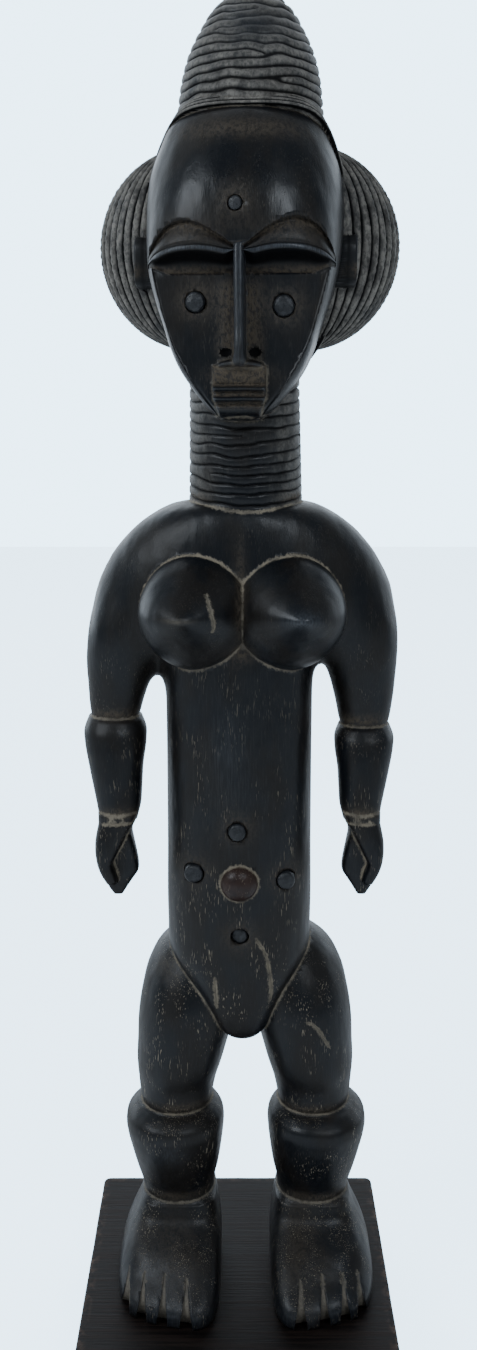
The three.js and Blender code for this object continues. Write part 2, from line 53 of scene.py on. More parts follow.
MM = 0.001
FIGURE_PLACE = np.array([1.9, 16.7, 30.3])
HEAD_TURN = math.radians(-4.5)
HEAD_X = 1.5
TORSO_X = -1.2
SHOULDERS_X = 0.8
ARMS_X = -0.7
THIGHS_X = 1.4
SHINS_X = 1.8

Rows = tuple[tuple[float, ...], ...]
Point = tuple[float, float, float]


class Side(Enum):
    """The viewer's side of the figure that a piece belongs to."""

    LEFT = -1
    RIGHT = 1


class Mark(Enum):
    """A number from 0 to 1 kept for each point of the carving, for its finish to read.

    KNOWN is 1 but on points that a join or cut makes. The others say how far a point lies in a
    groove of the hair, in dusty hair, on the ringed neck, in brown soil, in painted shade (shadow
    painted near black under the brows and lids, in the nostrils and in the ear bowls), on bare wood
    (and on one painted highlight, a thin line at a nipple), on a rubbed place (also carrying painted
    highlights on the nose, the lid rims and the other nipple) or on the reddish navel.
    """

    KNOWN = "known"
    GROOVE = "groove"
    HAIR = "hair"
    RINGED = "ringed"
    SOIL = "soil"
    SHADE = "shade"
    PALE = "pale"
    WEAR = "wear"
    RED = "red"


# Curves and patterns


def ease(low: float, high: float, value: np.ndarray) -> np.ndarray:
    """Rises smoothly from 0 at low to 1 at high.

    Args:
        low: value that gives 0.
        high: value that gives 1; it may be less than low.
        value: values to read.

    Returns:
        3 t^2 - 2 t^3, with t the share of the way from low to high, held in 0 to 1.
    """
    t = np.clip((value - low) / (high - low), 0.0, 1.0)
    return t * t * (3.0 - 2.0 * t)


def through(knots: np.ndarray, values: np.ndarray, at: np.ndarray) -> np.ndarray:
    """A smooth curve through given values.

    Args:
        knots: rising places of the values.
        values: one value, or one row of values, for each knot.
        at: places to read, held within the knots.

    Returns:
        The cubic Hermite curve whose slope at each knot is the central difference.
    """
    knots = np.asarray(knots, float)
    values = np.asarray(values, float)
    at = np.clip(np.asarray(at, float), knots[0], knots[-1])
    slopes = np.gradient(values, knots, axis=0)
    i = np.clip(np.searchsorted(knots, at) - 1, 0, len(knots) - 2)
    width = knots[i + 1] - knots[i]
    t = (at - knots[i]) / width
    if values.ndim > 1:
        width = width[..., None]
        t = t[..., None]
    start = (2 * t**3 - 3 * t**2 + 1) * values[i] + (t**3 - 2 * t**2 + t) * width * slopes[i]
    end = (3 * t**2 - 2 * t**3) * values[i + 1] + (t**3 - t**2) * width * slopes[i + 1]
    return start + end


def outline(points: Rows, at: np.ndarray) -> np.ndarray:
    """The height of a drawn line over the distance across.

    Args:
        points: pairs of the distance across and the height, in rising order.
        at: distances across.

    Returns:
        The smooth curve through the pairs.
    """
    drawn = np.array(points)
    return through(drawn[:, 0], drawn[:, 1], at)


def rounded_power(value: np.ndarray, power: np.ndarray | float) -> np.ndarray:
    """The sign of a value times its size to the 2 / power, which squares an oval off."""
    return np.sign(value) * np.abs(value) ** (2.0 / power)


def rope(phase: np.ndarray, fullness: float) -> np.ndarray:
    """Ridges side by side, one for each whole step of the phase.

    Args:
        phase: how many ridges along a point lies.
        fullness: 2 gives round ridges, more gives flatter tops and narrower grooves.

    Returns:
        1 - |2 frac(phase) - 1| ^ fullness, so 0 in a groove and 1 on top.
    """
    across = np.abs(2.0 * (phase % 1.0) - 1.0)
    return 1.0 - across**fullness


def ripple(seed: int, *axes: np.ndarray) -> np.ndarray:
    """A smooth uneven wave, as a hand-cut line has.

    Args:
        seed: picks the wave.
        axes: coordinates, each already divided by the length of a wave along it.

    Returns:
        The mean of four sines of random directions and phases, about -0.7 to 0.7.
    """
    random = np.random.default_rng(seed)
    total = 0.0
    for _ in range(4):
        weights = random.uniform(-1.0, 1.0, len(axes)) * 2.0 * math.pi
        total = total + np.sin(sum(w * a for w, a in zip(weights, axes)) + random.uniform(0, 6.3))
    return total / 4.0


def fork(across: np.ndarray, along: np.ndarray) -> np.ndarray:
    """The phase that a ridge ending at (0, 0) adds: its angle round that point, over a full turn."""
    return np.arctan2(along, across) / (2.0 * math.pi)


# Closed surfaces


@dataclass
class Skin:
    """A closed surface: rings of points from the top down, with one point above and one below."""

    rings: np.ndarray
    top: Point
    bottom: Point
    marks: dict[Mark, np.ndarray | float] = field(default_factory=dict)

    def moved(self, move) -> "Skin":
        """The same surface with each array of points passed through move."""
        ends = move(np.array([self.top, self.bottom], float))
        rings = move(self.rings.reshape(-1, 3)).reshape(self.rings.shape)
        return Skin(rings, ends[0], ends[1], self.marks)

    def marked(self, mark: Mark) -> np.ndarray:
        """One of the marks for each point, in the order of arrays()."""
        plain = 1.0 if mark is Mark.KNOWN else 0.0
        values = np.broadcast_to(self.marks.get(mark, plain), self.rings.shape[:2])
        return np.concatenate([values.ravel(), values[[0, -1]].mean(axis=1)])

    def arrays(self) -> tuple[np.ndarray, np.ndarray]:
        """Points and triangles of the surface, with the triangles facing outwards."""
        rows, columns, _ = self.rings.shape
        points = np.vstack([self.rings.reshape(-1, 3), np.array([self.top, self.bottom], float)])
        index = np.arange(rows * columns).reshape(rows, columns)
        after = np.roll(index, -1, axis=1)
        a, b, c, d = index[:-1], index[1:], after[1:], after[:-1]
        bands = np.concatenate([np.stack([a, b, c], -1), np.stack([a, c, d], -1)]).reshape(-1, 3)
        high = np.full(columns, rows * columns)
        low = high + 1
        caps = [np.stack([high, index[0], after[0]], 1), np.stack([low, after[-1], index[-1]], 1)]
        triangles = np.vstack([bands, *caps])
        corners = points[triangles]
        volume = np.einsum("ij,ij->i", corners[:, 0], np.cross(corners[:, 1], corners[:, 2])).sum()
        return points, triangles if volume > 0 else triangles[:, ::-1]


def evened(rings: np.ndarray, columns: int) -> np.ndarray:
    """Spreads the points of each closed ring evenly along it.

    Args:
        rings: rows of closed rings of points.
        columns: number of points wanted.

    Returns:
        Points at equal steps of the length round each ring, from the same first point.
    """
    closed = np.concatenate([rings, rings[:, :1]], axis=1)
    steps = np.linalg.norm(np.diff(closed, axis=1), axis=2)
    run = np.concatenate([np.zeros((len(rings), 1)), np.cumsum(steps, axis=1)], axis=1)
    share = np.arange(columns) / columns
    rows = [
        np.stack([np.interp(share * length[-1], length, ring[:, k]) for k in range(3)], 1)
        for length, ring in zip(run, closed)
    ]
    return np.array(rows)


@dataclass(frozen=True)
class Form:
    """A body whose level sections are rounded ovals.

    Each row gives height, middle in X, middle in Y, half width, depth to the front, depth to the
    back and, where it changes with height, the squareness of the front.
    """

    rows: Rows
    top: Point
    bottom: Point
    squareness: float = 2.2
    front_squareness: float = 0.0

    def sizes(self, height: np.ndarray) -> tuple[np.ndarray, ...]:
        """Middle X, middle Y, half width, front, back and front squareness at each height."""
        rows = np.array(self.rows)
        read = through(rows[:, 0], rows[:, 1:], height)
        if read.shape[-1] < 6:
            power = np.full(read.shape[:-1] + (1,), self.front_squareness or self.squareness)
            read = np.concatenate([read, power], axis=-1)
        return tuple(np.moveaxis(read, -1, 0))

    def rings(self, heights: np.ndarray, columns: int) -> np.ndarray:
        """Level sections at the given heights.

        Args:
            heights: from the top down.
            columns: points in each section, evenly spaced, from +X anticlockwise from above.

        Returns:
            Points x + half cos^(2/p), y + depth sin^(2/p) for each height and turn.
        """
        x, y, half, front, back, power = (size[:, None] for size in self.sizes(heights))
        turn = np.linspace(0.0, 2.0 * math.pi, 4 * columns, endpoint=False)[None, :]
        forward = np.sin(turn) < 0
        shape = np.where(forward, power, self.squareness)
        depth = np.where(forward, front, back)
        ring = np.stack(
            [
                x + half * rounded_power(np.cos(turn), shape),
                y + depth * rounded_power(np.sin(turn), shape),
                np.broadcast_to(heights[:, None], shape.shape),
            ],
            axis=-1,
        )
        return evened(ring, columns)

    def skin(self, step: float, columns: int) -> Skin:
        """The closed surface, with rings about step apart and the given points in each."""
        low, high = self.rows[0][0], self.rows[-1][0]
        heights = np.linspace(high, low, max(3, round((high - low) / step) + 1))
        return Skin(self.rings(heights, columns), self.top, self.bottom)

    def front_at(self, x: np.ndarray, z: np.ndarray) -> np.ndarray:
        """Depth of the front of the body at places across and up."""
        middle, y, half, front, _, power = self.sizes(z)
        share = np.clip(1 - (np.abs(x - middle) / half) ** power, 1e-4, 1.0)
        return y - front * share ** (1 / power)


# Meshes


def on_base(points: np.ndarray) -> np.ndarray:
    """Points of the carving's frame in metres in the whole object's frame."""
    return (points + FIGURE_PLACE) * MM


def head_place(points: np.ndarray) -> np.ndarray:
    """Points of the head's frame, turned to their place on the body."""
    c, s = math.cos(HEAD_TURN), math.sin(HEAD_TURN)
    turned = points.copy()
    turned[:, 0] = c * points[:, 0] - s * points[:, 1] + HEAD_X
    turned[:, 1] = s * points[:, 0] + c * points[:, 1]
    return turned


def build_object(name: str, skins: list[Skin]) -> bpy.types.Object:
    """Makes one mesh object of several closed surfaces given in the carving's frame.

    Args:
        name: name of the object.
        skins: the surfaces, in millimetres.

    Returns:
        The object, at the origin, with its place in its mesh.
    """
    points, triangles, count = [], [], 0
    for skin in skins:
        some_points, some_triangles = skin.arrays()
        points.append(some_points)
        triangles.append(some_triangles + count)
        count += len(some_points)
    points = on_base(np.vstack(points))
    triangles = np.vstack(triangles)
    mesh = bpy.data.meshes.new(name)
    mesh.vertices.add(len(points))
    mesh.vertices.foreach_set("co", points.ravel())
    mesh.loops.add(triangles.size)
    mesh.loops.foreach_set("vertex_index", triangles.ravel())
    mesh.polygons.add(len(triangles))
    mesh.polygons.foreach_set("loop_start", np.arange(len(triangles)) * 3)
    mesh.update(calc_edges=True)
    piece = bpy.data.objects.new(name, mesh)
    bpy.context.scene.collection.objects.link(piece)
    for mark in Mark:
        note(piece, mark.value, np.concatenate([skin.marked(mark) for skin in skins]))
    return piece


def settle(piece: bpy.types.Object) -> bpy.types.Object:
    """Applies all modifiers of an object to its mesh."""
    graph = bpy.context.evaluated_depsgraph_get()
    finished = bpy.data.meshes.new_from_object(piece.evaluated_get(graph))
    piece.modifiers.clear()
    old, piece.data = piece.data, finished
    bpy.data.meshes.remove(old)
    return piece


def remeshed(piece: bpy.types.Object, voxel: float) -> bpy.types.Object:
    """Fuses the closed surfaces of an object into one skin of squares about voxel mm wide."""
    fuse = piece.modifiers.new("fuse", "REMESH")
    fuse.mode = "VOXEL"
    fuse.voxel_size = voxel * MM
    return settle(piece)


def thinned(piece: bpy.types.Object, triangles: int) -> bpy.types.Object:
    """Takes triangles away where the surface is flat, down to about the given number."""
    now = len(piece.data.loops) - 2 * len(piece.data.polygons)
    if now <= triangles:
        return piece
    thin = piece.modifiers.new("thin", "DECIMATE")
    thin.ratio = triangles / now
    return settle(piece)


def combine(piece: bpy.types.Object, others: list[bpy.types.Object], how: str) -> bpy.types.Object:
    """Joins other closed solids to an object, or cuts them from it, and deletes them.

    Args:
        piece: the solid that is kept.
        others: solids that are used up.
        how: UNION or DIFFERENCE.

    Returns:
        The piece, with the result as its mesh.
    """
    for other in others:
        step = piece.modifiers.new(how.lower(), "BOOLEAN")
        step.solver = "MANIFOLD"
        step.operation = how
        step.object = other
    settle(piece)
    for other in others:
        mesh = other.data
        bpy.data.objects.remove(other)
        bpy.data.meshes.remove(mesh)
    return piece


def read_points(piece: bpy.types.Object) -> np.ndarray:
    """The vertices of an object in the carving's frame, in millimetres."""
    flat = np.empty(len(piece.data.vertices) * 3, np.float32)
    piece.data.vertices.foreach_get("co", flat)
    return flat.reshape(-1, 3).astype(float) / MM - FIGURE_PLACE


def write_points(piece: bpy.types.Object, points: np.ndarray) -> None:
    """Moves the vertices of an object to places given in the carving's frame."""
    piece.data.vertices.foreach_set("co", on_base(points).astype(np.float32).ravel())
    piece.data.update()


def read_normals(piece: bpy.types.Object) -> np.ndarray:
    """The vertex normals of an object."""
    flat = np.empty(len(piece.data.vertices) * 3, np.float32)
    piece.data.vertex_normals.foreach_get("vector", flat)
    return flat.reshape(-1, 3).astype(float)


def read_edges(piece: bpy.types.Object) -> np.ndarray:
    """Pairs of vertices that an edge joins."""
    flat = np.empty(len(piece.data.edges) * 2, np.int32)
    piece.data.edges.foreach_get("vertices", flat)
    return flat.reshape(-1, 2)


def mean_of_neighbours(values: np.ndarray, edges: np.ndarray) -> np.ndarray:
    """The mean of each vertex's neighbours.

    Args:
        values: one value or row of values for each vertex.
        edges: pairs of joined vertices.

    Returns:
        An array like values.
    """
    a, b = edges[:, 0], edges[:, 1]
    count = np.bincount(edges.ravel(), minlength=len(values)).clip(1)
    columns = values.reshape(len(values), -1)
    total = [
        np.bincount(a, c[b], minlength=len(values)) + np.bincount(b, c[a], minlength=len(values))
        for c in columns.T
    ]
    return (np.stack(total, 1) / count[:, None]).reshape(values.shape)


def softened(piece: bpy.types.Object, share, rounds: int) -> bpy.types.Object:
    """Moves vertices towards their neighbours' mean.

    Args:
        piece: the object.
        share: a function of the points that gives how far each one moves, 0 to 1.
        rounds: how many times.

    Returns:
        The object.
    """
    points = read_points(piece)
    edges = read_edges(piece)
    for _ in range(rounds):
        pull = share(points)[:, None]
        points = points + pull * (mean_of_neighbours(points, edges) - points)
    write_points(piece, points)
    return piece


def bend_of(piece: bpy.types.Object, spread: int) -> np.ndarray:
    """How sharply the surface bends at each vertex, in 1 / mm.

    Args:
        piece: the object.
        spread: rounds of averaging over neighbours.

    Returns:
        The mean over a vertex's edges of (change of normal . edge) / length^2: more than 0 on a
        ridge and less than 0 in a groove.
    """
    points, normals, edges = read_points(piece), read_normals(piece), read_edges(piece)
    step = points[edges[:, 1]] - points[edges[:, 0]]
    turn = normals[edges[:, 1]] - normals[edges[:, 0]]
    length = np.linalg.norm(step, axis=1).clip(0.05)
    bend = np.einsum("ij,ij->i", step, turn) / length**2
    weight = np.concatenate([length, length])
    ends = np.concatenate([edges[:, 0], edges[:, 1]])
    total = np.bincount(ends, np.concatenate([bend, bend]) * weight, minlength=len(points))
    mean = total / np.bincount(ends, weight, minlength=len(points)).clip(1e-6)
    for _ in range(spread):
        mean = 0.5 * mean + 0.5 * mean_of_neighbours(mean, edges)
    return mean


def note(piece: bpy.types.Object, name: str, values: np.ndarray) -> None:
    """Keeps one number for each vertex on the mesh, for the finish to read."""
    layers = piece.data.attributes
    layer = layers.get(name) or layers.new(name, "FLOAT", "POINT")
    layer.data.foreach_set("value", values.astype(np.float32))


def noted(piece: bpy.types.Object, name: str) -> np.ndarray:
    """The numbers kept on the mesh under a name."""
    values = np.zeros(len(piece.data.vertices), np.float32)
    piece.data.attributes[name].data.foreach_get("value", values)
    return values.astype(float)


def fill_marks(piece: bpy.types.Object, rounds: int = 4) -> np.ndarray:
    """Gives each point that a join or cut made the mean of its neighbours' marks.

    Bare and reddish wood ends there instead, so that it doesn't run out over the next surface.

    Args:
        piece: the object.
        rounds: how many points away from a known one are reached.

    Returns:
        True for each point that a join or cut made.
    """
    made = noted(piece, Mark.KNOWN.value) < 0.5
    edges = read_edges(piece)
    sure = 1.0 - made
    values = np.stack([noted(piece, mark.value) for mark in Mark], 1)
    for _ in range(rounds):
        near = mean_of_neighbours(values * sure[:, None], edges)
        weight = mean_of_neighbours(sure, edges)
        fill = (sure < 0.5) & (weight > 0)
        values[fill] = near[fill] / weight[fill, None]
        sure[fill] = 1.0
    for mark, column in zip(Mark, values.T):
        note(piece, mark.value, column * (1 - made) if mark in (Mark.PALE, Mark.RED) else column)
    return made


def run_from(piece: bpy.types.Object, start: np.ndarray, reach: float) -> np.ndarray:
    """How far each point lies from the nearest starting point, along the edges.

    Args:
        piece: the object.
        start: True for the starting points.
        reach: the most that is measured, in mm.

    Returns:
        Lengths in mm, found by letting each point take its neighbour's length plus the edge's.
    """
    points, edges = read_points(piece), read_edges(piece)
    a, b = edges.T
    length = np.linalg.norm(points[a] - points[b], axis=1)
    far = np.where(start, 0.0, reach)
    for _ in range(9):
        nearer = far.copy()
        np.minimum.at(nearer, a, far[b] + length)
        np.minimum.at(nearer, b, far[a] + length)
        far = nearer
    return far


# The head


@dataclass(frozen=True)
class Skull:
    """The bald head, its face cut back between the brows and the jaw, in the head's own frame."""

    form: Form = Form(
        rows=(
            (378.5, 0, -20, 8, 13.5, 4, 2.8),
            (382, 0, -14, 12.5, 21.5, 6, 3.6),
            (386, 0, -10, 15.8, 26.5, 8, 4.6),
            (391.7, 0, -6, 20, 30.8, 10, 5.6),
            (397, 0, -4, 23.4, 32.8, 12, 6.4),
            (404, 0, -2, 26.6, 34.8, 14, 6.8),
            (412, 0, 0, 29.2, 36.9, 16, 6.8),
            (421, 0, 0, 32.3, 37.2, 18, 6.2),
            (430, 0, 0, 35, 37.6, 20, 5.0),
            (440, 0, 0, 36.7, 37.8, 22, 3.6),
            (450, 0, 0, 37.3, 37.6, 23, 2.8),
            (459, 0, 0, 37.2, 36.2, 23, 2.5),
            (468, 0, 0, 36, 33.2, 22, 2.3),
            (478, 0, 0, 32.4, 28.6, 20, 2.2),
            (486, 0, 0, 28.2, 23, 18, 2.2),
            (493, 0, 0, 20, 15, 14, 2.2),
        ),
        top=(0, 0, 496),
        bottom=(0, -22, 377),
        squareness=2.3,
    )
    step: float = 1.1
    columns: int = 210
    triangles: int = 20000

    def skin(self, fineness: float) -> Skin:
        """The whole skull, before the face is cut."""
        return self.form.skin(self.step * fineness, round(self.columns / fineness))


@dataclass(frozen=True)
class Face:
    """The cuts and blocks that make the face, in the head's own frame."""

    skull: Skull = Skull()
    in_front: float = -60.0
    brow_arch: Rows = (
        (0, 438.4),
        (1.6, 439.2),
        (4.8, 441.7),
        (8.5, 444.2),
        (12, 446.2),
        (16, 448),
        (20.5, 448.9),
        (25, 448),
        (29, 445.3),
        (32.2, 441.2),
        (33.8, 437.9),
        (34.6, 435.4),
    )
    lid_line: Rows = (
        (0, 437.4),
        (4.6, 438.4),
        (11.6, 439.8),
        (18.5, 440.1),
        (26, 439.2),
        (31, 437.3),
        (34.6, 434.6),
    )
    right_arch_lift: float = 0.5
    eye_half: float = 34.5
    lid_depth: Rows = (
        (0, 2.3),
        (0.15, 2.2),
        (0.35, 1.6),
        (0.6, 0.8),
        (0.8, 0.45),
        (0.93, 0.45),
        (1, 1.0),
    )
    rim: float = 2.3
    undercut_floor: float = 430.4
    undercut_hollow: float = 1.8
    shield_half: Rows = (
        (378, 7),
        (381, 9),
        (386.4, 13.6),
        (392.5, 17.6),
        (398, 21),
        (403.3, 23.8),
        (409, 26.1),
        (415, 27.9),
        (421.8, 29.8),
        (430, 31.9),
        (436, 33.6),
    )
    cheek_y: float = -30.0
    cheek_z: float = 436.0
    cheek_lean: float = 4.6 / 52
    nose_front: Rows = (
        (397.6, 10.5),
        (398.6, 12.0),
        (402, 13.0),
        (412, 11.8),
        (430, 9.4),
        (439, 8.0),
        (444, 7.0),
    )
    nose_half: float = 2.0
    wing_half: float = 9.2
    mouth_half: float = 9.7
    mouth_foot_half: float = 7.4
    mouth_line: Rows = (
        (379.4, -33.5),
        (380.6, -36.2),
        (381.8, -37.5),
        (382.8, -37.9),
        (383.5, -37.6),
        (384.1, -36.9),
        (384.7, -36.9),
        (385.2, -38.2),
        (385.8, -39.0),
        (386.5, -38.9),
        (387.0, -37.8),
        (387.5, -37.3),
        (388.4, -37.3),
        (388.9, -38.3),
        (389.5, -39.1),
        (390.2, -38.8),
        (390.7, -37.6),
        (391.1, -36.4),
        (391.8, -36.5),
        (394, -37.0),
        (396.5, -37.3),
        (397.6, -37.4),
    )

    def skin_depth(self, x: np.ndarray, z: np.ndarray) -> np.ndarray:
        """Depth of the plain skull's front at places across and up."""
        return self.skull.form.front_at(x, z)

    def cheek(self, z: np.ndarray) -> np.ndarray:
        """Depth of the plane that the cheeks are cut back to: it comes forward going down."""
        return self.cheek_y - (self.cheek_z - z) * self.cheek_lean

    def eye_cut(self) -> Skin:
        """What is cut away between the brows and the cheeks.

        Each ring is a slice at one distance across. Going down, its back steps in under the brow
        arch, swells forward over the lid, dips into a fine line, rounds over the lid's rim and
        runs back under it to the cheeks.
        """
        x = np.linspace(-self.eye_half, self.eye_half, 170)
        side = np.abs(x)
        lift = self.right_arch_lift * np.tanh(x / 8)
        brow = outline(self.brow_arch, side) + lift * ease(1, 10, side) * ease(34.5, 30, side)
        lid = outline(self.lid_line, side) + 0.3 * lift * ease(34.5, 30, side)
        brow = np.maximum(brow, lid + 0.35)
        rim = self.rim * ease(35.5, 29, side) * ease(1, 6, side) + 0.25
        floor = np.minimum(self.undercut_line(x), lid - rim - 0.3)
        lower = self.cheek(floor)
        loops = [np.stack([x, x * 0 + self.in_front, brow], 1)]
        soil, shade, wear = [0 * x], [0 * x], [0 * x] * 16
        for t in np.linspace(0, 1, 15):
            z = brow + (lid - brow) * t
            inset = outline(self.lid_depth, np.array(t)) * ease(34.6, 32, side) + 0.15
            loops.append(np.stack([x, self.skin_depth(x, z) + inset, z], 1))
            soil.append(0.6 * ease(0.45, 0.1, t) + 0.15 + 0 * x)
            shade.append(0.6 * ease(0.12, 0.02, t) + 0.6 * ease(0.92, 1.0, t) + 0 * x)
        for t in np.linspace(0.06, 1, 11):
            z = lid - rim * t
            bead = math.sqrt(max(0.0, 1 - (2 * t - 1) ** 2))
            inset = 1.0 - 0.85 * bead
            loops.append(np.stack([x, self.skin_depth(x, z) + inset * ease(34.6, 33, side), z], 1))
            soil.append(0 * x)
            shade.append(0.8 * ease(0.7, 0.95, t) + 0.6 * ease(0.2, 0.06, t) + 0 * x)
            # painted highlight: the wear mark lightens the front of the lid's rim bead
            wear.append(0.9 * ease(0.12, 0.3, t) * ease(0.8, 0.6, t) + 0 * x)
        start = self.skin_depth(x, lid - rim) + 1.0
        for t in np.linspace(0.08, 1, 12):
            z = (lid - rim) + (floor - lid + rim) * t
            scoop = math.sin(math.pi * (0.25 + 0.75 * t)) * self.undercut_hollow
            hollow = scoop * ease(34, 28, side)
            back = start + np.maximum(lower + hollow - start, 0) * (1 - (1 - t) ** 3)
            skin = self.skin_depth(x, z) + 0.1
            loops.append(np.stack([x, np.maximum(back, np.minimum(skin, self.cheek(z))), z], 1))
            soil.append(0.6 * ease(0.35, 0.8, t) + 0 * x)
            shade.append(0.9 * ease(0.85, 0.25, t) + 0 * x)
        loops.append(np.stack([x, x * 0 + self.in_front, floor], 1))
        rings = np.stack(loops, axis=1)
        ends = rings[[0, -1]].mean(axis=1)
        marks = {Mark.SOIL: soil + [0 * x], Mark.SHADE: shade + [0 * x], Mark.WEAR: wear + [0 * x] * 13}
        marks = {mark: np.stack(columns, 1) for mark, columns in marks.items()}
        return Skin(rings, tuple(ends[0]), tuple(ends[1]), marks)

    def undercut_line(self, x: np.ndarray) -> np.ndarray:
        """Height of the lower edge of the hollow under the lids."""
        return self.undercut_floor + 2.4 * ease(26, 34.5, np.abs(x))

    def cheek_cut(self) -> Skin:
        """What is cut away in front of the cheeks: level slices as wide as the face's shield."""
        level = np.linspace(self.undercut_floor, 379.0, 64)[:, None]
        share = np.linspace(-1, 1, 61)[None, :]
        x = share * outline(self.shield_half, level)
        rise = self.undercut_line(x) - self.undercut_floor + 0.05
        z = level + rise * ease(self.undercut_floor - 14, self.undercut_floor, level)
        half = outline(self.shield_half, z)
        x = share * half
        across = np.abs(share)
        skin = self.skin_depth(half, z) + 0.5
        back = self.cheek(z)
        back = back + np.maximum(skin - back, 0) * ease(0.84, 1.0, across)
        sunk = np.stack([x, back, z], -1)
        front = np.stack([x[:, ::-1], back * 0 + self.in_front, z[:, ::-1]], -1)[:, ::6]
        rings = np.concatenate([sunk, front], axis=1)
        near_nose = 0.8 * ease(11, 4, np.abs(x)) * ease(398, 404, z) * ease(431, 424, z)
        soil = np.concatenate([near_nose, 0 * front[..., 0]], axis=1)
        ends = (0, -45, level[0, 0] + 0.2), (0, -45, level[-1, 0] - 0.5)
        return Skin(rings, *ends, {Mark.SOIL: soil})

    def nose(self) -> Skin:
        """A long ridge with a flat top and crisp edges: level slices of a squared oval."""
        drawn = np.array(self.nose_front)
        z = np.linspace(444, 397.6, 54)
        front = through(drawn[:, 0], drawn[:, 1], z)
        lean = -0.15 + 0.55 * ease(440, 402, z)
        half = self.nose_half + 0.9 * ease(402.5, 398.5, z) + 0.15 * ease(438, 443, z)
        rows = tuple(
            (float(a), float(b), -30.0, float(c), float(d), 6.0)
            for a, b, c, d in zip(z[::-1], lean[::-1], half[::-1], front[::-1])
        )
        form = Form(rows, (0, -30, 445), (0.4, -32, 397), 5.0, 5.0)
        # painted highlight: the wear mark lightens the whole nose, as if its ridge caught the light
        return Skin(form.rings(z, 52), form.top, form.bottom, {Mark.WEAR: 0.5})

    def wings(self) -> Skin:
        """The nostrils, a thin bar across the foot of the nose that droops at its ends."""
        share = np.linspace(-1, 1, 61)[:, None]
        x = share * self.wing_half
        side = np.abs(share)
        turn = np.linspace(0, 2 * math.pi, 32, endpoint=False)[None, :]
        close = np.sqrt(np.clip(1 - side**8, 0.02, 1))
        tall = (1.75 - 0.35 * side) * close
        middle = 398.7 - 1.1 * side**2.2
        front = 8.9 + 2.6 * ease(0.75, 0.1, side)
        y = -30 + front * close * rounded_power(np.sin(turn), 2.6)
        z = middle + tall * rounded_power(np.cos(turn), 2.4) + 0 * y
        rings = np.stack([x + 0 * y + 0.3, y, z], -1)
        ends = (0.3 - self.wing_half - 0.1, -34, 397.6), (0.3 + self.wing_half + 0.1, -34, 397.6)
        return Skin(rings, *ends)

    def mouth(self) -> Skin:
        """A block with two thin lips: one side view, carried across and rounded off at its ends."""
        drawn = np.array(self.mouth_line)
        z = np.linspace(drawn[0, 0], drawn[-1, 0], 76)[None, :]
        share = np.linspace(-1, 1, 35)[:, None]
        side = np.abs(share)
        end = 0.7 * ease(0.93, 1.0, side) + 0.35 * side**2
        line = through(drawn[:, 0], drawn[:, 1], z)
        y = line + end
        half = self.mouth_foot_half + (self.mouth_half - self.mouth_foot_half) * ease(379, 388, z)
        x = share * half + 0.1
        sunk = ease(-38.6, -37.2, line) * ease(381.5, 383.5, z)
        soil = 0.8 * sunk + 0.4 * ease(391, 393, z)
        z = z + 0 * y + 0.25 * ripple(41, share * 0.8, z / 30)
        inner = np.linspace(drawn[-1, 0], drawn[0, 0], 6)[None, :] + 0 * x[:, :6]
        back = np.stack([x[:, -6:], -26 + 0 * inner, inner], -1)
        rings = np.concatenate([np.stack([x, y, z], -1), back], axis=1)
        soil = np.concatenate([soil + 0 * y, 0 * inner], axis=1)
        ends = (0.1 - self.mouth_half - 0.15, -32, 388), (0.1 + self.mouth_half + 0.15, -32, 388)
        return Skin(rings, *ends, {Mark.SOIL: soil})

    def nostril_cut(self, side: Side) -> Skin:
        """A small hollow above a nostril: an ellipsoid."""
        fall = np.linspace(0.2, math.pi - 0.2, 12)[:, None]
        turn = np.linspace(0, 2 * math.pi, 24, endpoint=False)[None, :]
        middle = np.array([side.value * 5.4 + 0.3, -34.2, 402.8])
        unit = [np.sin(fall) * np.cos(turn), np.sin(fall) * np.sin(turn), np.cos(fall) + 0 * turn]
        size = np.array([3.0, 1.9, 2.1])
        ends = [tuple(middle + size * [0, 0, end]) for end in (1, -1)]
        return Skin(middle + np.stack(unit, -1) * size, *ends, {Mark.SHADE: 0.9})


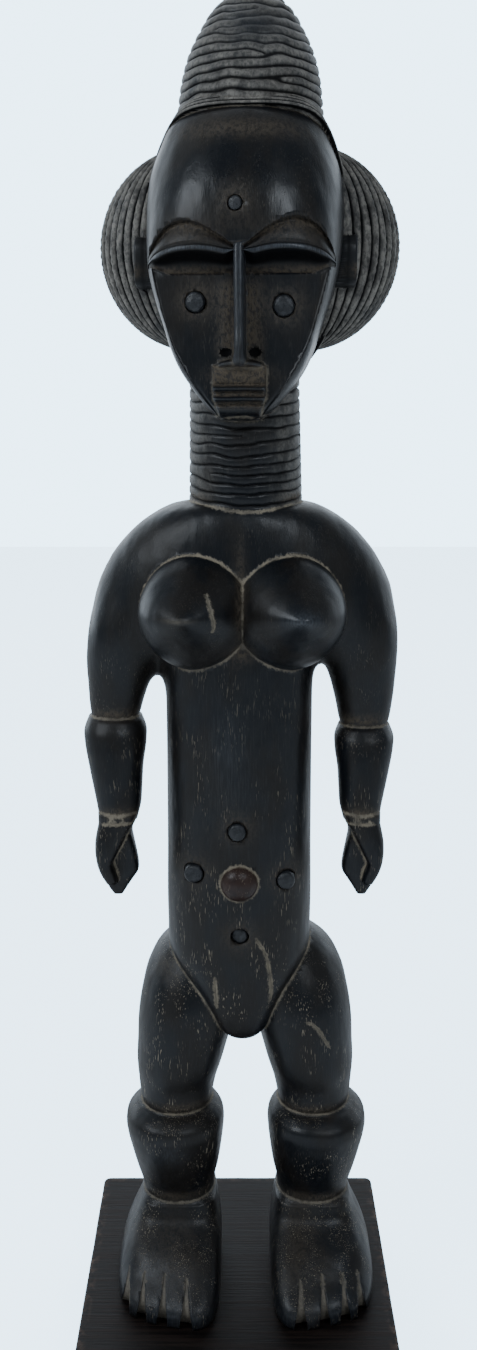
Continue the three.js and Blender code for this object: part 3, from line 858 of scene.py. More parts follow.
@dataclass(frozen=True)
class HairCap:
    """The close hair behind the hairline, combed into fine ridges that follow it."""

    form: Form = Form(
        rows=(
            (401, 0, 6, 25, 10, 14),
            (408, 0, 4, 30, 20, 20),
            (418, 0, 2, 33.8, 32, 25),
            (430, 0, 0, 36.4, 38, 29),
            (445, 0, 0, 38.3, 39, 31),
            (459, 0, 0, 38.3, 37.6, 31),
            (468, 0, 0, 37.3, 34.4, 29.5),
            (478, 0.5, 0, 33.8, 29.8, 27),
            (486, 1, 0, 29.4, 24.2, 24),
            (492, 1, 0, 25, 18.5, 21),
            (495, 1, 0, 21, 15, 18),
        ),
        top=(0, 2, 496),
        bottom=(0, 8, 399),
        squareness=2.2,
        front_squareness=2.7,
    )
    hairline: Rows = (
        (10, 380),
        (4, 415),
        (1, 430),
        (-0.3, 446),
        (-0.2, 462),
        (-2.2, 473.5),
        (-7, 482),
        (-14, 487),
        (-21, 489.5),
        (-40, 491),
    )
    pitch: float = 1.95
    groove: float = 0.95
    reach: float = 27.0
    columns: int = 230
    triangles: int = 10000

    def line(self, count: int) -> tuple[np.ndarray, np.ndarray]:
        """Points of the hairline in side view (Y and Z), and its normals towards the hair."""
        drawn = np.array(self.hairline, float)
        run = np.concatenate([[0], np.cumsum(np.linalg.norm(np.diff(drawn, axis=0), axis=1))])
        line = through(run, drawn, np.linspace(0, run[-1], count))
        along = np.gradient(line, axis=0)
        along /= np.linalg.norm(along, axis=1)[:, None]
        return line, np.stack([along[:, 1], -along[:, 0]], 1)

    def skin(self, fineness: float) -> Skin:
        """Rings that follow the hairline, each a step further back over the head.

        In side view a ring is the hairline moved back by a distance. It lies on the cap's rounded
        sections, drawn in where a groove runs, and closes under the jaw.
        """
        line, normal = self.line(700)
        count = round(self.columns / fineness)
        steps = np.linspace(0, self.reach, round(self.reach / 0.3 / fineness))
        rings = [self.ring(line, normal, 0.0, 7.0, count), self.ring(line, normal, 0.0, 2.5, count)]
        sunk = 1 - rope(steps / self.pitch, 2.6)
        for back, inset in zip(steps, self.groove * sunk * (1 - 0.4 * ease(8, 18, steps))):
            rings.append(self.ring(line, normal, back, float(inset), count))
        marks = {Mark.GROOVE: np.concatenate([[0.2, 0.2], sunk])[:, None], Mark.HAIR: 1.0}
        return Skin(np.array(rings), (0, 5, 440), (0, 31, 440), marks)

    def ring(self, line, normal, back: float, inset: float, count: int) -> np.ndarray:
        """One ring, a distance back from the hairline and drawn in by the inset."""
        y, z = (line + normal * back).T
        held = (z > 402) & (z < 494)
        y, z = y[held], z[held]
        x0, y0, half, front, rear, power = self.form.sizes(z)
        shape = np.where(y < y0, power, self.form.squareness)
        depth = np.where(y < y0, front, rear) - inset
        share = 1 - (np.abs(y - y0) / depth) ** shape
        last = int(np.argmax(share <= 0)) if (share <= 0).any() else len(share)
        inside = share[:last] if last > 4 else np.clip(share, 1e-3, 1)
        y, z, x0, half, shape = (a[: len(inside)] for a in (y, z, x0, half, shape))
        x = (half - inset) * np.clip(inside, 0, 1) ** (1 / shape)
        wave = 0.25 * np.sin(z / 5.0 + back * 0.35) * min(1.0, back)
        right = np.stack([x0 + x, y + wave, z], 1)
        left = np.stack([x0 - x, y + wave, z], 1)[::-1]
        ring = np.concatenate([right, left])[None]
        return evened(ring, count)[0]


@dataclass(frozen=True)
class TopKnot:
    """The tall crest of hair, wound in level ridges that fork here and there."""

    x: float = 1.0
    rows: Rows = (
        (484, 6, 29.4, 25),
        (490, 7, 28.2, 26),
        (496, 8, 27.6, 25.5),
        (505, 10, 26.4, 24),
        (514, 12.5, 24, 21.6),
        (523, 15.5, 20, 18.4),
        (531, 17.8, 15, 14),
        (536, 18.8, 9.4, 8.8),
        (538.6, 19, 5, 4.8),
    )
    low: float = 487.0
    high: float = 540.0
    ridges: int = 14
    depth: float = 1.3
    triangles: int = 16500

    def skin(self, fineness: float) -> Skin:
        """The knot: ovals x + half cos, y + depth sin, drawn in where a groove runs."""
        rows = np.array(self.rows)
        heights = np.linspace(rows[-1, 0], rows[0, 0], round(150 / fineness))
        y, half, depth = through(rows[:, 0], rows[:, 1:], heights).T[..., None]
        turn = np.linspace(0, 2 * math.pi, round(260 / fineness), endpoint=False)[None, :]
        z = np.broadcast_to(heights[:, None], (len(heights), turn.size))
        across = half * np.cos(turn)
        front = np.sin(turn)
        pitch = (self.high - self.low) / self.ridges
        phase = (z - self.low) / pitch + 0.22 * ripple(5, np.cos(turn) * 1.2, front, z / 45)
        phase = phase + 0.16 * ripple(8, np.cos(turn) * 2.6, front * 2, z / 16)
        for place, height, way in ((6, 508, 1), (13, 499, -1), (-12, 519, -1), (3, 527, 1)):
            near = front < 0
            phase = phase + np.where(near, way * fork((z - height) * 2.0, across - place), way * 0.25)
        worn = np.exp(-(((across - 3) / 15) ** 2) - ((z - 521) / 9) ** 2) * (front < 0)
        ridge = rope(phase, 3.0)
        inset = self.depth * (1 - ridge) * (1 - 0.7 * worn) + 0.25 * worn
        points = np.stack(
            [
                self.x + (half - inset) * np.cos(turn),
                y + (depth - inset) * np.sin(turn),
                z + 0.15 * ripple(9, np.cos(turn) * 3, front * 3, z / 8),
            ],
            axis=-1,
        )
        marks = {Mark.GROOVE: 1 - ridge, Mark.HAIR: 0.8 - 0.7 * worn, Mark.WEAR: 0.3 * worn}
        return Skin(points, (self.x, 19, 539.6), (self.x, 6, 480), marks)


@dataclass(frozen=True)
class SideBun:
    """A lobe of hair behind an ear, its ridges running from a pole above to a pole below."""

    side: Side
    x: float = 21.3
    y: float = 16.0
    z: float = 443.8
    width: float = 38.3
    depth: float = 23.5
    height: float = 38.8
    squareness: float = 2.3
    ridges: int = 54
    groove: float = 1.05
    triangles: int = 17500

    def skin(self, fineness: float) -> Skin:
        """The lobe: ovals whose size follows the sine of the fall from the upper pole."""
        rows = round(76 / fineness)
        fall = np.linspace(0.10, math.pi - 0.10, rows)[:, None]
        turn = np.linspace(0, 2 * math.pi, 4000, endpoint=False)
        section = np.stack(
            [
                self.width * rounded_power(np.cos(turn), self.squareness),
                self.depth * rounded_power(np.sin(turn), self.squareness),
                turn * 0,
            ],
            axis=-1,
        )[None]
        columns = round(self.ridges * 8 / fineness)
        oval = evened(section, columns)[0]
        share = np.arange(columns)[None, :] / columns
        seed = 20 + self.side.value
        round_x, round_y = np.cos(share * 2 * math.pi), np.sin(share * 2 * math.pi)
        phase = share * self.ridges + 0.22 * ripple(seed, round_x, round_y, fall / 2.6)
        phase = phase + 0.10 * ripple(seed + 5, round_x * 9, round_y * 9, fall * 1.5)
        bead = 0.12 * np.sin(fall * 24 * math.pi + np.floor(phase) * 2.4)
        taper = np.sin(fall) ** 0.6
        inset = self.groove * taper * (1 - rope(phase, 2.4)) - bead * taper * rope(phase, 2.0)
        spread = np.sin(fall)
        shrink = 1 - inset / self.depth / np.maximum(spread, 0.3)
        x = self.side.value * self.x + oval[None, :, 0] * spread * shrink
        y = self.y + oval[None, :, 1] * spread * shrink
        z = np.broadcast_to(self.z + self.height * np.cos(fall), x.shape)
        middle = self.side.value * self.x
        top = (middle, self.y, self.z + self.height)
        bottom = (middle, self.y, self.z - self.height)
        marks = {Mark.GROOVE: 1 - rope(phase, 2.8), Mark.HAIR: 1.0}
        return Skin(np.stack([x, y, z], -1), top, bottom, marks)


@dataclass(frozen=True)
class Ear:
    """A small squared ear: a C-shaped rim over a solid lobe."""

    side: Side
    x: float = 39.6
    half: float = 5.4
    rim: Rows = (
        (-2, 446.5),
        (-5.5, 446.4),
        (-8.2, 443),
        (-8.6, 438),
        (-8.5, 433),
        (-8.3, 429.2),
        (-5.6, 428.1),
        (-3, 427.7),
        (-0.4, 429.8),
        (2, 433),
        (1.2, 438),
        (-0.2, 443),
    )
    bowl: Rows = (
        (-2.6, 444.2),
        (-4.2, 444.1),
        (-5.7, 443),
        (-6.5, 441),
        (-6.7, 439),
        (-6.6, 437.2),
        (-5.4, 436.7),
        (-4.2, 436.5),
        (-3, 436.7),
        (-2.1, 438),
        (-2.0, 440.5),
        (-2.1, 442.6),
    )

    def skin(self, fineness: float) -> Skin:
        """Rings from the floor of the bowl over the rim and down its outer wall into the head."""
        columns = round(72 / fineness)
        rim = self.closed(self.rim, columns)
        bowl = self.closed(self.bowl, columns)
        middle = rim.mean(axis=0)
        hollow = bowl.mean(axis=0)
        layers = (
            (hollow + (bowl - hollow) * 0.5, 1.0),
            (hollow + (bowl - hollow) * 0.86, 1.1),
            (bowl, 1.7),
            (bowl + (rim - bowl) * 0.12, 2.75),
            (bowl + (rim - bowl) * 0.3, 3.0),
            (bowl + (rim - bowl) * 0.75, 3.0),
            (bowl + (rim - bowl) * 0.93, 2.7),
            (rim, 2.0),
            (rim, -0.5),
            (rim, -self.half),
        )
        rings = [
            np.column_stack([np.full(columns, self.side.value * (self.x + out)), ring])
            for ring, out in layers
        ]
        top = (self.side.value * (self.x + 1.0), *hollow)
        bottom = (self.side.value * (self.x - self.half), *middle)
        rings = np.array(rings)
        sunk = np.array([1, 1, 0.9, 0.4, 0, 0, 0, 0.2, 0.6, 1])[:, None]
        dusty = 0.8 * ease(438, 434, rings[..., 2]) * ease(430, 433, rings[..., 2])
        return Skin(rings, top, bottom, {Mark.SHADE: sunk, Mark.SOIL: dusty * (1 - sunk)})

    def closed(self, points: Rows, columns: int) -> np.ndarray:
        """A smooth closed line through points drawn in Y and Z, in even steps."""
        drawn = np.array(points, float)
        looped = np.vstack([drawn[-2:], drawn, drawn[:3]])
        run = np.arange(len(looped), dtype=float)
        line = through(run, looped, np.linspace(2, len(drawn) + 2, 4 * columns, endpoint=False))
        ring = np.column_stack([line, np.zeros(len(line))])[None]
        return evened(ring, columns)[0, :, :2]


@dataclass(frozen=True)
class Neck:
    """A leaning column of carved rings, in the head's frame."""

    rings: int = 13
    pitch: float = 4.1
    bottom: float = 345.5
    root: float = 335.5
    half: float = 22.8
    taper: float = 0.03
    flatness: float = 1.5
    groove: float = 1.15
    lean: float = math.radians(9)
    triangles: int = 15000

    def skin(self, fineness: float) -> Skin:
        """Tilted ovals half cos, (half - flatness) sin, drawn in at each groove."""
        top = self.bottom + self.rings * self.pitch
        height = np.linspace(top, self.root, round(190 / fineness))[:, None]
        turn = np.linspace(0, 2 * math.pi, round(180 / fineness), endpoint=False)[None, :]
        across, along = np.cos(turn), np.sin(turn)
        phase = (height - self.bottom) / self.pitch
        phase = phase + 0.24 * ripple(31, across * 1.1, along * 1.1, height / 22)
        phase = phase + 0.12 * ripple(33, across * 3, along * 3, height / 9)
        front = along < 0
        for place, level, way in ((0.05, 376, 1), (-0.55, 361, -1)):
            bend = way * fork((height - level) * 3.0, (across - place) * 20)
            phase = phase + np.where(front, bend, way * 0.25)
        plain = ease(self.bottom + 2.2, self.bottom + 0.4, height)
        ridge = rope(phase, 4.0)
        inset = self.groove * (1 - ridge) * (1 - plain) + 0.25 * plain
        half = self.half - (height - self.bottom) * self.taper
        dy = (half - self.flatness - inset) * along
        points = np.stack(
            [
                (half - inset) * across,
                -1 - math.tan(self.lean) * (height - self.bottom) + dy,
                height + dy * math.tan(self.lean),
            ],
            axis=-1,
        )
        middle_y = -1 - math.tan(self.lean) * (top - self.bottom)
        marks = {Mark.GROOVE: (1 - ridge) * (1 - plain), Mark.RINGED: 1 - plain}
        return Skin(points, (0, middle_y, top + 1), (0, -1, self.root - 1), marks)


# The body


@dataclass(frozen=True)
class Trunk:
    """Torso, shoulder yoke, breasts and navel."""

    torso: Form = Form(
        rows=(
            (116.5, 1.5, 0, 8.6, 22, 8),
            (119, 1.4, 0, 11.6, 24, 13),
            (125, 1.1, 0, 15, 26, 17),
            (134, 0.7, 0, 20, 27.6, 20),
            (145, 0.3, 0, 26.2, 28.6, 22),
            (154, 0, 0, 30.4, 29.3, 23),
            (166, 0, 0, 31, 29.8, 23),
            (205, 0, 0, 30.8, 30, 23),
            (260, 0, 0, 30.6, 28.5, 23),
            (300, 0, 0, 31, 27, 23),
            (336, 0, 0, 28, 24, 20),
        ),
        top=(0, 0, 338),
        bottom=(1.5, -12, 115),
        squareness=2.4,
        front_squareness=2.5,
    )
    yoke: Form = Form(
        rows=(
            (282, 0, 0, 38, 13, 13),
            (285, 0, 0, 46, 17, 17),
            (290, 0, 0, 54, 21.4, 20.6),
            (297, 0, 0, 60.8, 25.4, 24),
            (307, 0, 0, 62.2, 27.4, 25.6),
            (317, 0, 0, 59, 27.6, 25.5),
            (322, 0, 0, 56.2, 27.2, 25),
            (327, 0, 0, 53.4, 26.6, 24.5),
            (332, 0, 0, 49, 26, 23.5),
            (337, 0, 0, 44, 25.2, 22.5),
            (341.5, 0, 0, 37.6, 24.2, 21.2),
            (344, 0, 0, 33.2, 23.2, 20.4),
            (346.5, 0, 0, 27.4, 22.4, 19.6),
        ),
        top=(0, 0, 348),
        bottom=(0, 0, 281),
        squareness=2.1,
    )
    breast_x: float = 17.4
    breast_z: float = 304.0
    breast_half: float = 22.6
    breast_height: float = 23.0
    apex: Point = (22.8, -50.7, 305.5)
    profile: Rows = (
        (-50.7, 0.05),
        (-49.6, 0.12),
        (-47.5, 0.24),
        (-44, 0.42),
        (-39, 0.62),
        (-33, 0.82),
        (-28, 0.94),
        (-24, 1.0),
        (-14, 1.0),
    )
    navel_middle: Point = (0, -29, 192.6)
    navel_size: Point = (7.8, 6, 7.8)

    def body_skins(self) -> list[Skin]:
        """The torso and the yoke, each in its place."""
        torso = self.torso.skin(2.0, 130).moved(lambda p: p + [TORSO_X, 0, 0])
        yoke = self.yoke.skin(1.5, 150).moved(lambda p: p + [SHOULDERS_X, 0, 0])
        return [torso, yoke]

    def breast(self, side: Side) -> Skin:
        """Rings round an axis that leans out from the chest, widening by the profile.

        Towards the tip the rings grow wider and lower, so that it ends in a level ridge.
        """
        profile = np.array(self.profile)
        y = np.linspace(profile[0, 0], profile[-1, 0], 44)[:, None]
        share = through(profile[:, 0], profile[:, 1], y)
        turn = np.linspace(0, 2 * math.pi, 96, endpoint=False)[None, :]
        root = -20.0
        lean = np.clip((y - root) / (self.apex[1] - root), 0.0, 1.0)
        x = self.breast_x + (self.apex[0] - self.breast_x) * lean
        z = self.breast_z + (self.apex[2] - self.breast_z) * lean
        tip = 1 - share
        x = side.value * (x + self.breast_half * share * (1 + 0.5 * tip) * np.cos(turn))
        z = z + self.breast_height * share * (1 - 0.3 * tip) * np.sin(turn)
        rings = np.stack([x, np.broadcast_to(y, x.shape), z], -1)
        apex = (side.value * self.apex[0], self.apex[1] - 0.1, self.apex[2])
        return Skin(rings, apex, (side.value * self.breast_x, -13, self.breast_z))

    def navel(self) -> Skin:
        """A round boss: an ellipsoid half sunk in the belly."""
        fall = np.linspace(0.12, math.pi - 0.12, 26)[:, None]
        turn = np.linspace(0, 2 * math.pi, 48, endpoint=False)[None, :]
        unit = np.stack(
            [np.sin(fall) * np.cos(turn), np.sin(fall) * np.sin(turn), np.cos(fall) + 0 * turn], -1
        )
        middle = np.array(self.navel_middle) + [TORSO_X, 0, 0]
        size = np.array(self.navel_size)
        ends = [middle + size * [0, 0, end] for end in (1, -1)]
        return Skin(middle + unit * size, tuple(ends[0]), tuple(ends[1]), {Mark.RED: 0.4})


@dataclass(frozen=True)
class Arm:
    """A bent arm that hangs clear of the trunk, grooved at the elbow and wrist."""

    side: Side
    elbow: float = 258.0
    shoulder: float = 300.0
    right_drop: float = 3.5
    drop_reach: float = 40.0
    right_slimness: float = 0.95
    right_shift: float = -0.5
    upper_rows: Rows = (
        (254, 52.5, -2.5, 9, 9),
        (259, 52.4, -2, 10.6, 10.4),
        (266, 52, -1.2, 12.1, 12.8),
        (277, 50.6, -1, 14.4, 15.6),
        (287, 49.6, -0.8, 15.6, 18),
        (300, 47.6, -0.4, 16, 19),
        (318, 42, 0.6, 14, 15),
    )
    fore_rows: Rows = (
        (215, 51.3, -11, 8, 8.6),
        (221, 51.1, -9.6, 9.3, 9.6),
        (227, 51.5, -8.4, 10.1, 10.4),
        (237, 52.2, -6.4, 11.4, 11.8),
        (247, 52.4, -4.4, 12.9, 12.9),
        (252, 52.5, -3.4, 13, 12.8),
        (257, 52.5, -2.4, 11.2, 10.9),
    )
    hand_rows: Rows = (
        (180.5, 52.2, -9, 2.1, 3.5),
        (183.4, 52.3, -9, 4, 4),
        (188.1, 51.7, -9, 6.5, 4.5),
        (190.5, 51.4, -9, 7.8, 5),
        (193.5, 51.8, -9, 8.4, 5),
        (198, 52.3, -9, 8.3, 5),
        (204.1, 52.9, -9.4, 7.8, 5.6),
        (208.5, 52.6, -10, 6.8, 7),
        (213, 52.2, -10.6, 7.4, 8.2),
        (218, 51.3, -10.8, 8.3, 8.6),
    )
    thumb_rows: Rows = (
        (187.5, 54.2, -14.5, 2.5, 4.5),
        (191.6, 55.7, -14.5, 3.2, 5.4),
        (195.9, 57, -14.2, 3.3, 6.2),
        (200, 56.4, -13.6, 4.6, 7),
        (204.5, 55.3, -13, 5.8, 7.4),
        (214, 51.8, -11.6, 7.7, 7.8),
    )

    def form(self, rows: Rows, top: Point, bottom: Point, squareness: float, slim: bool) -> Form:
        """One length of the arm on its own side.

        Args:
            rows: height, distance out, middle in Y, half width and depth.
            top: the point above, as distance out, Y and height.
            bottom: the point below.
            squareness: power of the sections.
            slim: whether the right arm is slimmer here.

        Returns:
            The form, moved and lowered as this arm is.
        """
        right = self.side is Side.RIGHT

        def place(out: float, z: float) -> tuple[float, float]:
            share = min(1.0, max(0.0, (z - self.elbow) / (self.shoulder - self.elbow)))
            shift = ARMS_X + (SHOULDERS_X - ARMS_X) * share + (self.right_shift if right else 0)
            near = max(0.0, 1 - abs(z - self.elbow) / self.drop_reach)
            return self.side.value * out + shift, z - (self.right_drop * near if right else 0)

        slimness = self.right_slimness if right and slim else 1.0
        made = []
        for z, out, y, half, depth in rows:
            x, low = place(out, z)
            made.append((low, x, y, half * slimness, depth, depth))
        (top_x, top_z), (bottom_x, bottom_z) = place(top[0], top[2]), place(bottom[0], bottom[2])
        return Form(tuple(made), (top_x, top[1], top_z), (bottom_x, bottom[1], bottom_z), squareness)

    def upper(self) -> Form:
        """The upper arm."""
        return self.form(self.upper_rows, (40, 1, 324), (52.5, -2.5, 252), 2.2, False)

    def fore(self) -> Form:
        """The forearm."""
        return self.form(self.fore_rows, (52.5, -2.4, 259.5), (51.4, -11, 212), 2.2, True)

    def hand(self) -> Form:
        """The flat hand."""
        return self.form(self.hand_rows, (51.3, -10.6, 221), (52.2, -9, 180.1), 3.6, True)

    def thumb(self) -> Form:
        """The thumb, a broad blade laid over the front of the hand."""
        return self.form(self.thumb_rows, (51.5, -11, 217), (54.2, -14.5, 187.1), 3.0, True)


@dataclass(frozen=True)
class Leg:
    """A heavy thigh over a flaring calf and a big foot with wedge-cut toes."""

    side: Side
    thigh_rows: Rows = (
        (76, 30.6, -3, 15, 16, 15),
        (82, 30.8, -3, 16.2, 18, 17),
        (90, 30.4, -1, 17.6, 21, 21),
        (98, 29.4, 0, 19.2, 24, 25),
        (108, 27.8, 1, 20.4, 25.6, 28),
        (118, 26.2, 2, 21.6, 26.4, 28),
        (131, 24, 3, 21.8, 25.6, 27),
        (142, 21.4, 4, 21.4, 22.6, 24),
        (152, 18, 5, 18.6, 17, 20),
        (158, 14, 6, 14.6, 11, 14),
    )
    calf_rows: Rows = (
        (30, 30.2, -4, 15.6, 15.4, 13),
        (39, 30.8, -4, 16.6, 16.8, 14),
        (48, 31, -5, 18.6, 19, 16),
        (58, 31.4, -6, 20.4, 21, 17.6),
        (66, 31.8, -6, 21.7, 22.6, 18.6),
        (71, 31.9, -6, 22, 23.2, 19),
        (75.5, 31.8, -6, 20.8, 21.8, 18),
        (79, 31.4, -5, 17.4, 18, 16),
    )
    foot_rows: Rows = (
        (0, 34.2, -12, 22.4, 42.4, 28),
        (3, 34.2, -12, 23, 43, 28.6),
        (8, 34, -12, 22.9, 41.6, 28.4),
        (14, 33.2, -10, 22.2, 35.2, 26),
        (20, 32.2, -8, 20.8, 29.2, 24),
        (27, 31, -5, 18.4, 20, 20),
        (34, 30.4, -5, 16.6, 16.6, 18),
    )
    toe_sweep: float = 0.25
    slots: Rows = (
        (24.5, 24.5, 16.5, 3.3),
        (35.0, 34.0, 17.0, 2.8),
        (44.0, 43.0, 16.5, 2.7),
        (51.5, 50.0, 15.5, 2.4),
    )
    slot_depth: float = 4.6
    slot_shift: float = 0.6

    def at_side(self, rows: Rows, shift: float) -> Rows:
        """Rows with the middle in X set on this side and shifted."""
        return tuple((z, self.side.value * x + shift, *rest) for z, x, *rest in rows)

    def thigh(self) -> Form:
        """The thigh and buttock."""
        s = self.side.value
        top, bottom = (s * 12 + THIGHS_X, 6, 160.5), (s * 30.6 + THIGHS_X, -3, 73)
        return Form(self.at_side(self.thigh_rows, THIGHS_X), top, bottom)

    def calf(self) -> Form:
        """The calf, widest just under the knee."""
        s = self.side.value
        top, bottom = (s * 31.2 + SHINS_X, -4, 80.5), (s * 30 + SHINS_X, -4, 26)
        return Form(self.at_side(self.calf_rows, SHINS_X), top, bottom)

    def foot(self) -> Form:
        """The foot without its toe cuts."""
        s = self.side.value
        top, bottom = (s * 30.2 + SHINS_X, -5, 37), (s * 34.2 + SHINS_X, -14, 0)
        return Form(self.at_side(self.foot_rows, SHINS_X), top, bottom, 2.6, 4.0)

    def swept(self, points: np.ndarray) -> np.ndarray:
        """Points of the foot with its outer toes drawn back and its inner ones brought forward."""
        out = self.side.value * (points[:, 0] - SHINS_X) - self.foot_rows[0][1]
        toes = ease(-14, -40, points[:, 1]) * ease(26, 12, points[:, 2])
        moved = points.copy()
        moved[:, 1] += self.toe_sweep * out * toes
        return moved

    def slot_cuts(self) -> list[Skin]:
        """Wedges between the toes, nothing at their apex on the instep and widest at the tips.

        Each is a stack of level rectangles, whose back lies a depth behind the foot's front that
        grows evenly from the apex down. The floor it leaves is bare wood.
        """
        cuts = []
        foot = self.foot()
        for low, high, apex, half in self.slots:
            z = np.linspace(apex, -1.0, 18)
            down = (apex - z) / apex
            x = self.side.value * (high + (low - high) * down) + self.slot_shift
            wide = half * np.clip(down, 0.04, 0.85)
            back = foot.front_at(x, np.maximum(z, 0)) + self.slot_depth * down - 0.2
            front = np.full_like(z, -75.0)
            across = np.linspace(-1, 1, 5)
            floor = [np.stack([x + wide * a, back, z], 1) for a in across]
            ahead = [np.stack([x + wide * a, front, z], 1) for a in across[::-1]]
            rings = np.stack(floor + ahead, axis=1)
            bare = np.array([0.5, 1, 1, 1, 0.5] + [0] * 5) * np.clip(down * 3, 0, 1)[:, None]
            ends = (x[0], -60, apex + 0.05), (x[-1], -60, -1.05)
            cuts.append(Skin(rings, *ends, {Mark.PALE: bare}))
        return cuts


# Pegs and base


@dataclass(frozen=True)
class Peg:
    """A round peg in a hole, its head cut off with a knife in a few flat facets."""

    node: str
    x: float
    surface: float
    z: float
    radius: float
    proud: float
    seed: int
    on_head: bool = False
    hole_depth: float = 8.0
    gap: float = 0.3

    def place(self, points: np.ndarray) -> np.ndarray:
        """Points of the peg's frame, moved with the head or the torso."""
        return head_place(points) if self.on_head else points + [TORSO_X, 0, 0]

    def rod(self, radius: float, front: np.ndarray, back: float, columns: int) -> Skin:
        """A rod along Y, from a back face to a front whose depth is given for each ring and turn.

        Args:
            radius: of the rod.
            front: depths of the front face, one row for each ring from the middle outwards.
            back: depth of the back face.
            columns: points round the rod.

        Returns:
            The closed surface, with its first point in the middle of the front.
        """
        turn = np.linspace(0, 2 * math.pi, columns, endpoint=False)
        layers = len(front)
        spread = np.concatenate([np.linspace(0.12, 1, layers), [1.0, 1.0, 0.6]]) * radius
        depth = np.vstack([front, front[-1:] + 0.4, np.full((2, columns), back)])
        x = self.x + spread[:, None] * np.cos(turn)
        z = self.z + spread[:, None] * np.sin(turn)
        ends = (self.x, float(front[0].mean()), self.z), (self.x, back, self.z)
        return Skin(np.stack([x, depth, z], -1), *ends).moved(self.place)

    def hole(self) -> Skin:
        """The round hole that the peg stands in."""
        front = np.full((2, 40), -60.0)
        return self.rod(self.radius + self.gap, front, self.surface + self.hole_depth, 40)

    def head(self) -> Skin:
        """The peg: a crowned disc cut by a few slanting planes, on a straight rod."""
        random = np.random.default_rng(self.seed)
        columns = 48
        turn = np.linspace(0, 2 * math.pi, columns, endpoint=False)[None, :]
        share = np.linspace(0.12, 1, 10)[:, None]
        x, z = share * np.cos(turn), share * np.sin(turn)
        top = self.surface - self.proud
        depth = top + 0.12 * self.radius * (x**2 + z**2)
        for _ in range(5):
            way = random.uniform(0, 2 * math.pi)
            tilt = random.uniform(0.25, 0.55)
            start = random.uniform(0.15, 0.65)
            plane = top + tilt * self.radius * (x * math.cos(way) + z * math.sin(way) - start)
            depth = np.maximum(depth, plane)
        depth = depth + 0.25 * self.radius * ease(0.86, 1.0, share) + 0.05 * ripple(self.seed, x, z)
        back = self.surface + self.hole_depth - self.gap
        return self.rod(self.radius, depth, back, columns)

    def build(self) -> bpy.types.Object:
        """The peg as a piece that stands for its node."""
        return build_object(self.node.replace("peg_", "wooden_peg_"), [self.head()])


PEGS = (
    Peg("peg_forehead", -1.4, -37.4, 453.4, 2.5, 0.8, 1, True),
    Peg("peg_cheek_left", -16.4, -31.2, 420.4, 3.7, 2.2, 2, True),
    Peg("peg_cheek_right", 16, -31.2, 419, 3.9, 2.2, 3, True),
    Peg("peg_belly_top", -0.9, -29.8, 215, 3.7, 1.8, 4),
    Peg("peg_belly_left", -18.6, -26.8, 196, 4.0, 2.0, 5),
    Peg("peg_belly_right", 19.2, -26.6, 193, 3.8, 2.0, 6),
    Peg("peg_belly_bottom", 0.2, -29.8, 168.6, 3.7, -1.2, 7),
)


@dataclass(frozen=True)
class DisplayBase:
    """The flat block that the figure stands on, with softened edges."""

    width: float = 135.8
    depth: float = 122.0
    height: float = 30.0
    corner: float = 3.0
    round_edge: float = 1.1

    def outline(self, inset: float, count: int) -> np.ndarray:
        """A rounded rectangle, drawn in by the inset: corners are arcs, the sides straight."""
        radius = max(self.corner - inset, 0.3)
        half = np.array([self.width / 2, self.depth / 2]) - inset - radius
        points = []
        for quarter, (a, b) in enumerate(((1, 1), (-1, 1), (-1, -1), (1, -1))):
            turn = np.linspace(quarter, quarter + 1, 9) * math.pi / 2
            arc = np.stack([np.cos(turn), np.sin(turn)], 1) * radius
            points.append(arc + half * [a, b])
        flat = np.concatenate(points)
        ring = np.column_stack([flat, np.zeros(len(flat))])[None]
        return evened(ring, count)[0, :, :2]

    def build(self) -> bpy.types.Object:
        """The block: rings from the middle of the top, over the edge and down to the underside."""
        count = 420
        edge = self.round_edge
        sizes = [0.15, 0.4, 0.65, 0.85, 0.95] + [1.0] * 15 + [0.5]
        insets, heights = [edge] * 5, [self.height] * 5
        for turn in np.linspace(0, math.pi / 2, 6):
            insets.append(edge * (1 - math.sin(turn)))
            heights.append(self.height - edge * (1 - math.cos(turn)))
        insets += [0.0] * 8
        heights += list(np.linspace(self.height - edge - 1.5, edge, 8))
        insets += [edge, edge]
        heights += [0.0, 0.0]
        rings = []
        for size, inset, height in zip(sizes, insets, heights, strict=True):
            flat = self.outline(inset, count) * size
            wear = 0.22 * ripple(61, flat[:, 0] / 24, flat[:, 1] / 24)
            near = math.exp(-((self.height - height) ** 2 + inset**2) / 6)
            ring = np.column_stack([flat * (1 - 0.012 * near * np.abs(wear))[:, None], flat[:, :1] * 0])
            ring[:, 2] = height
            rings.append(ring - FIGURE_PLACE)
        ends = [tuple(np.array([0, 0, end]) - FIGURE_PLACE) for end in (self.height, 0.0)]
        base = build_object("display_base", [Skin(np.array(rings), *ends)])
        points = read_points(base) + FIGURE_PLACE
        side = np.minimum(self.width / 2 - np.abs(points[:, 0]), self.depth / 2 - np.abs(points[:, 1]))
        near_top = self.height - points[:, 2]
        note(base, "edge", ease(3.2, 0.4, np.hypot(side, near_top)))
        return base


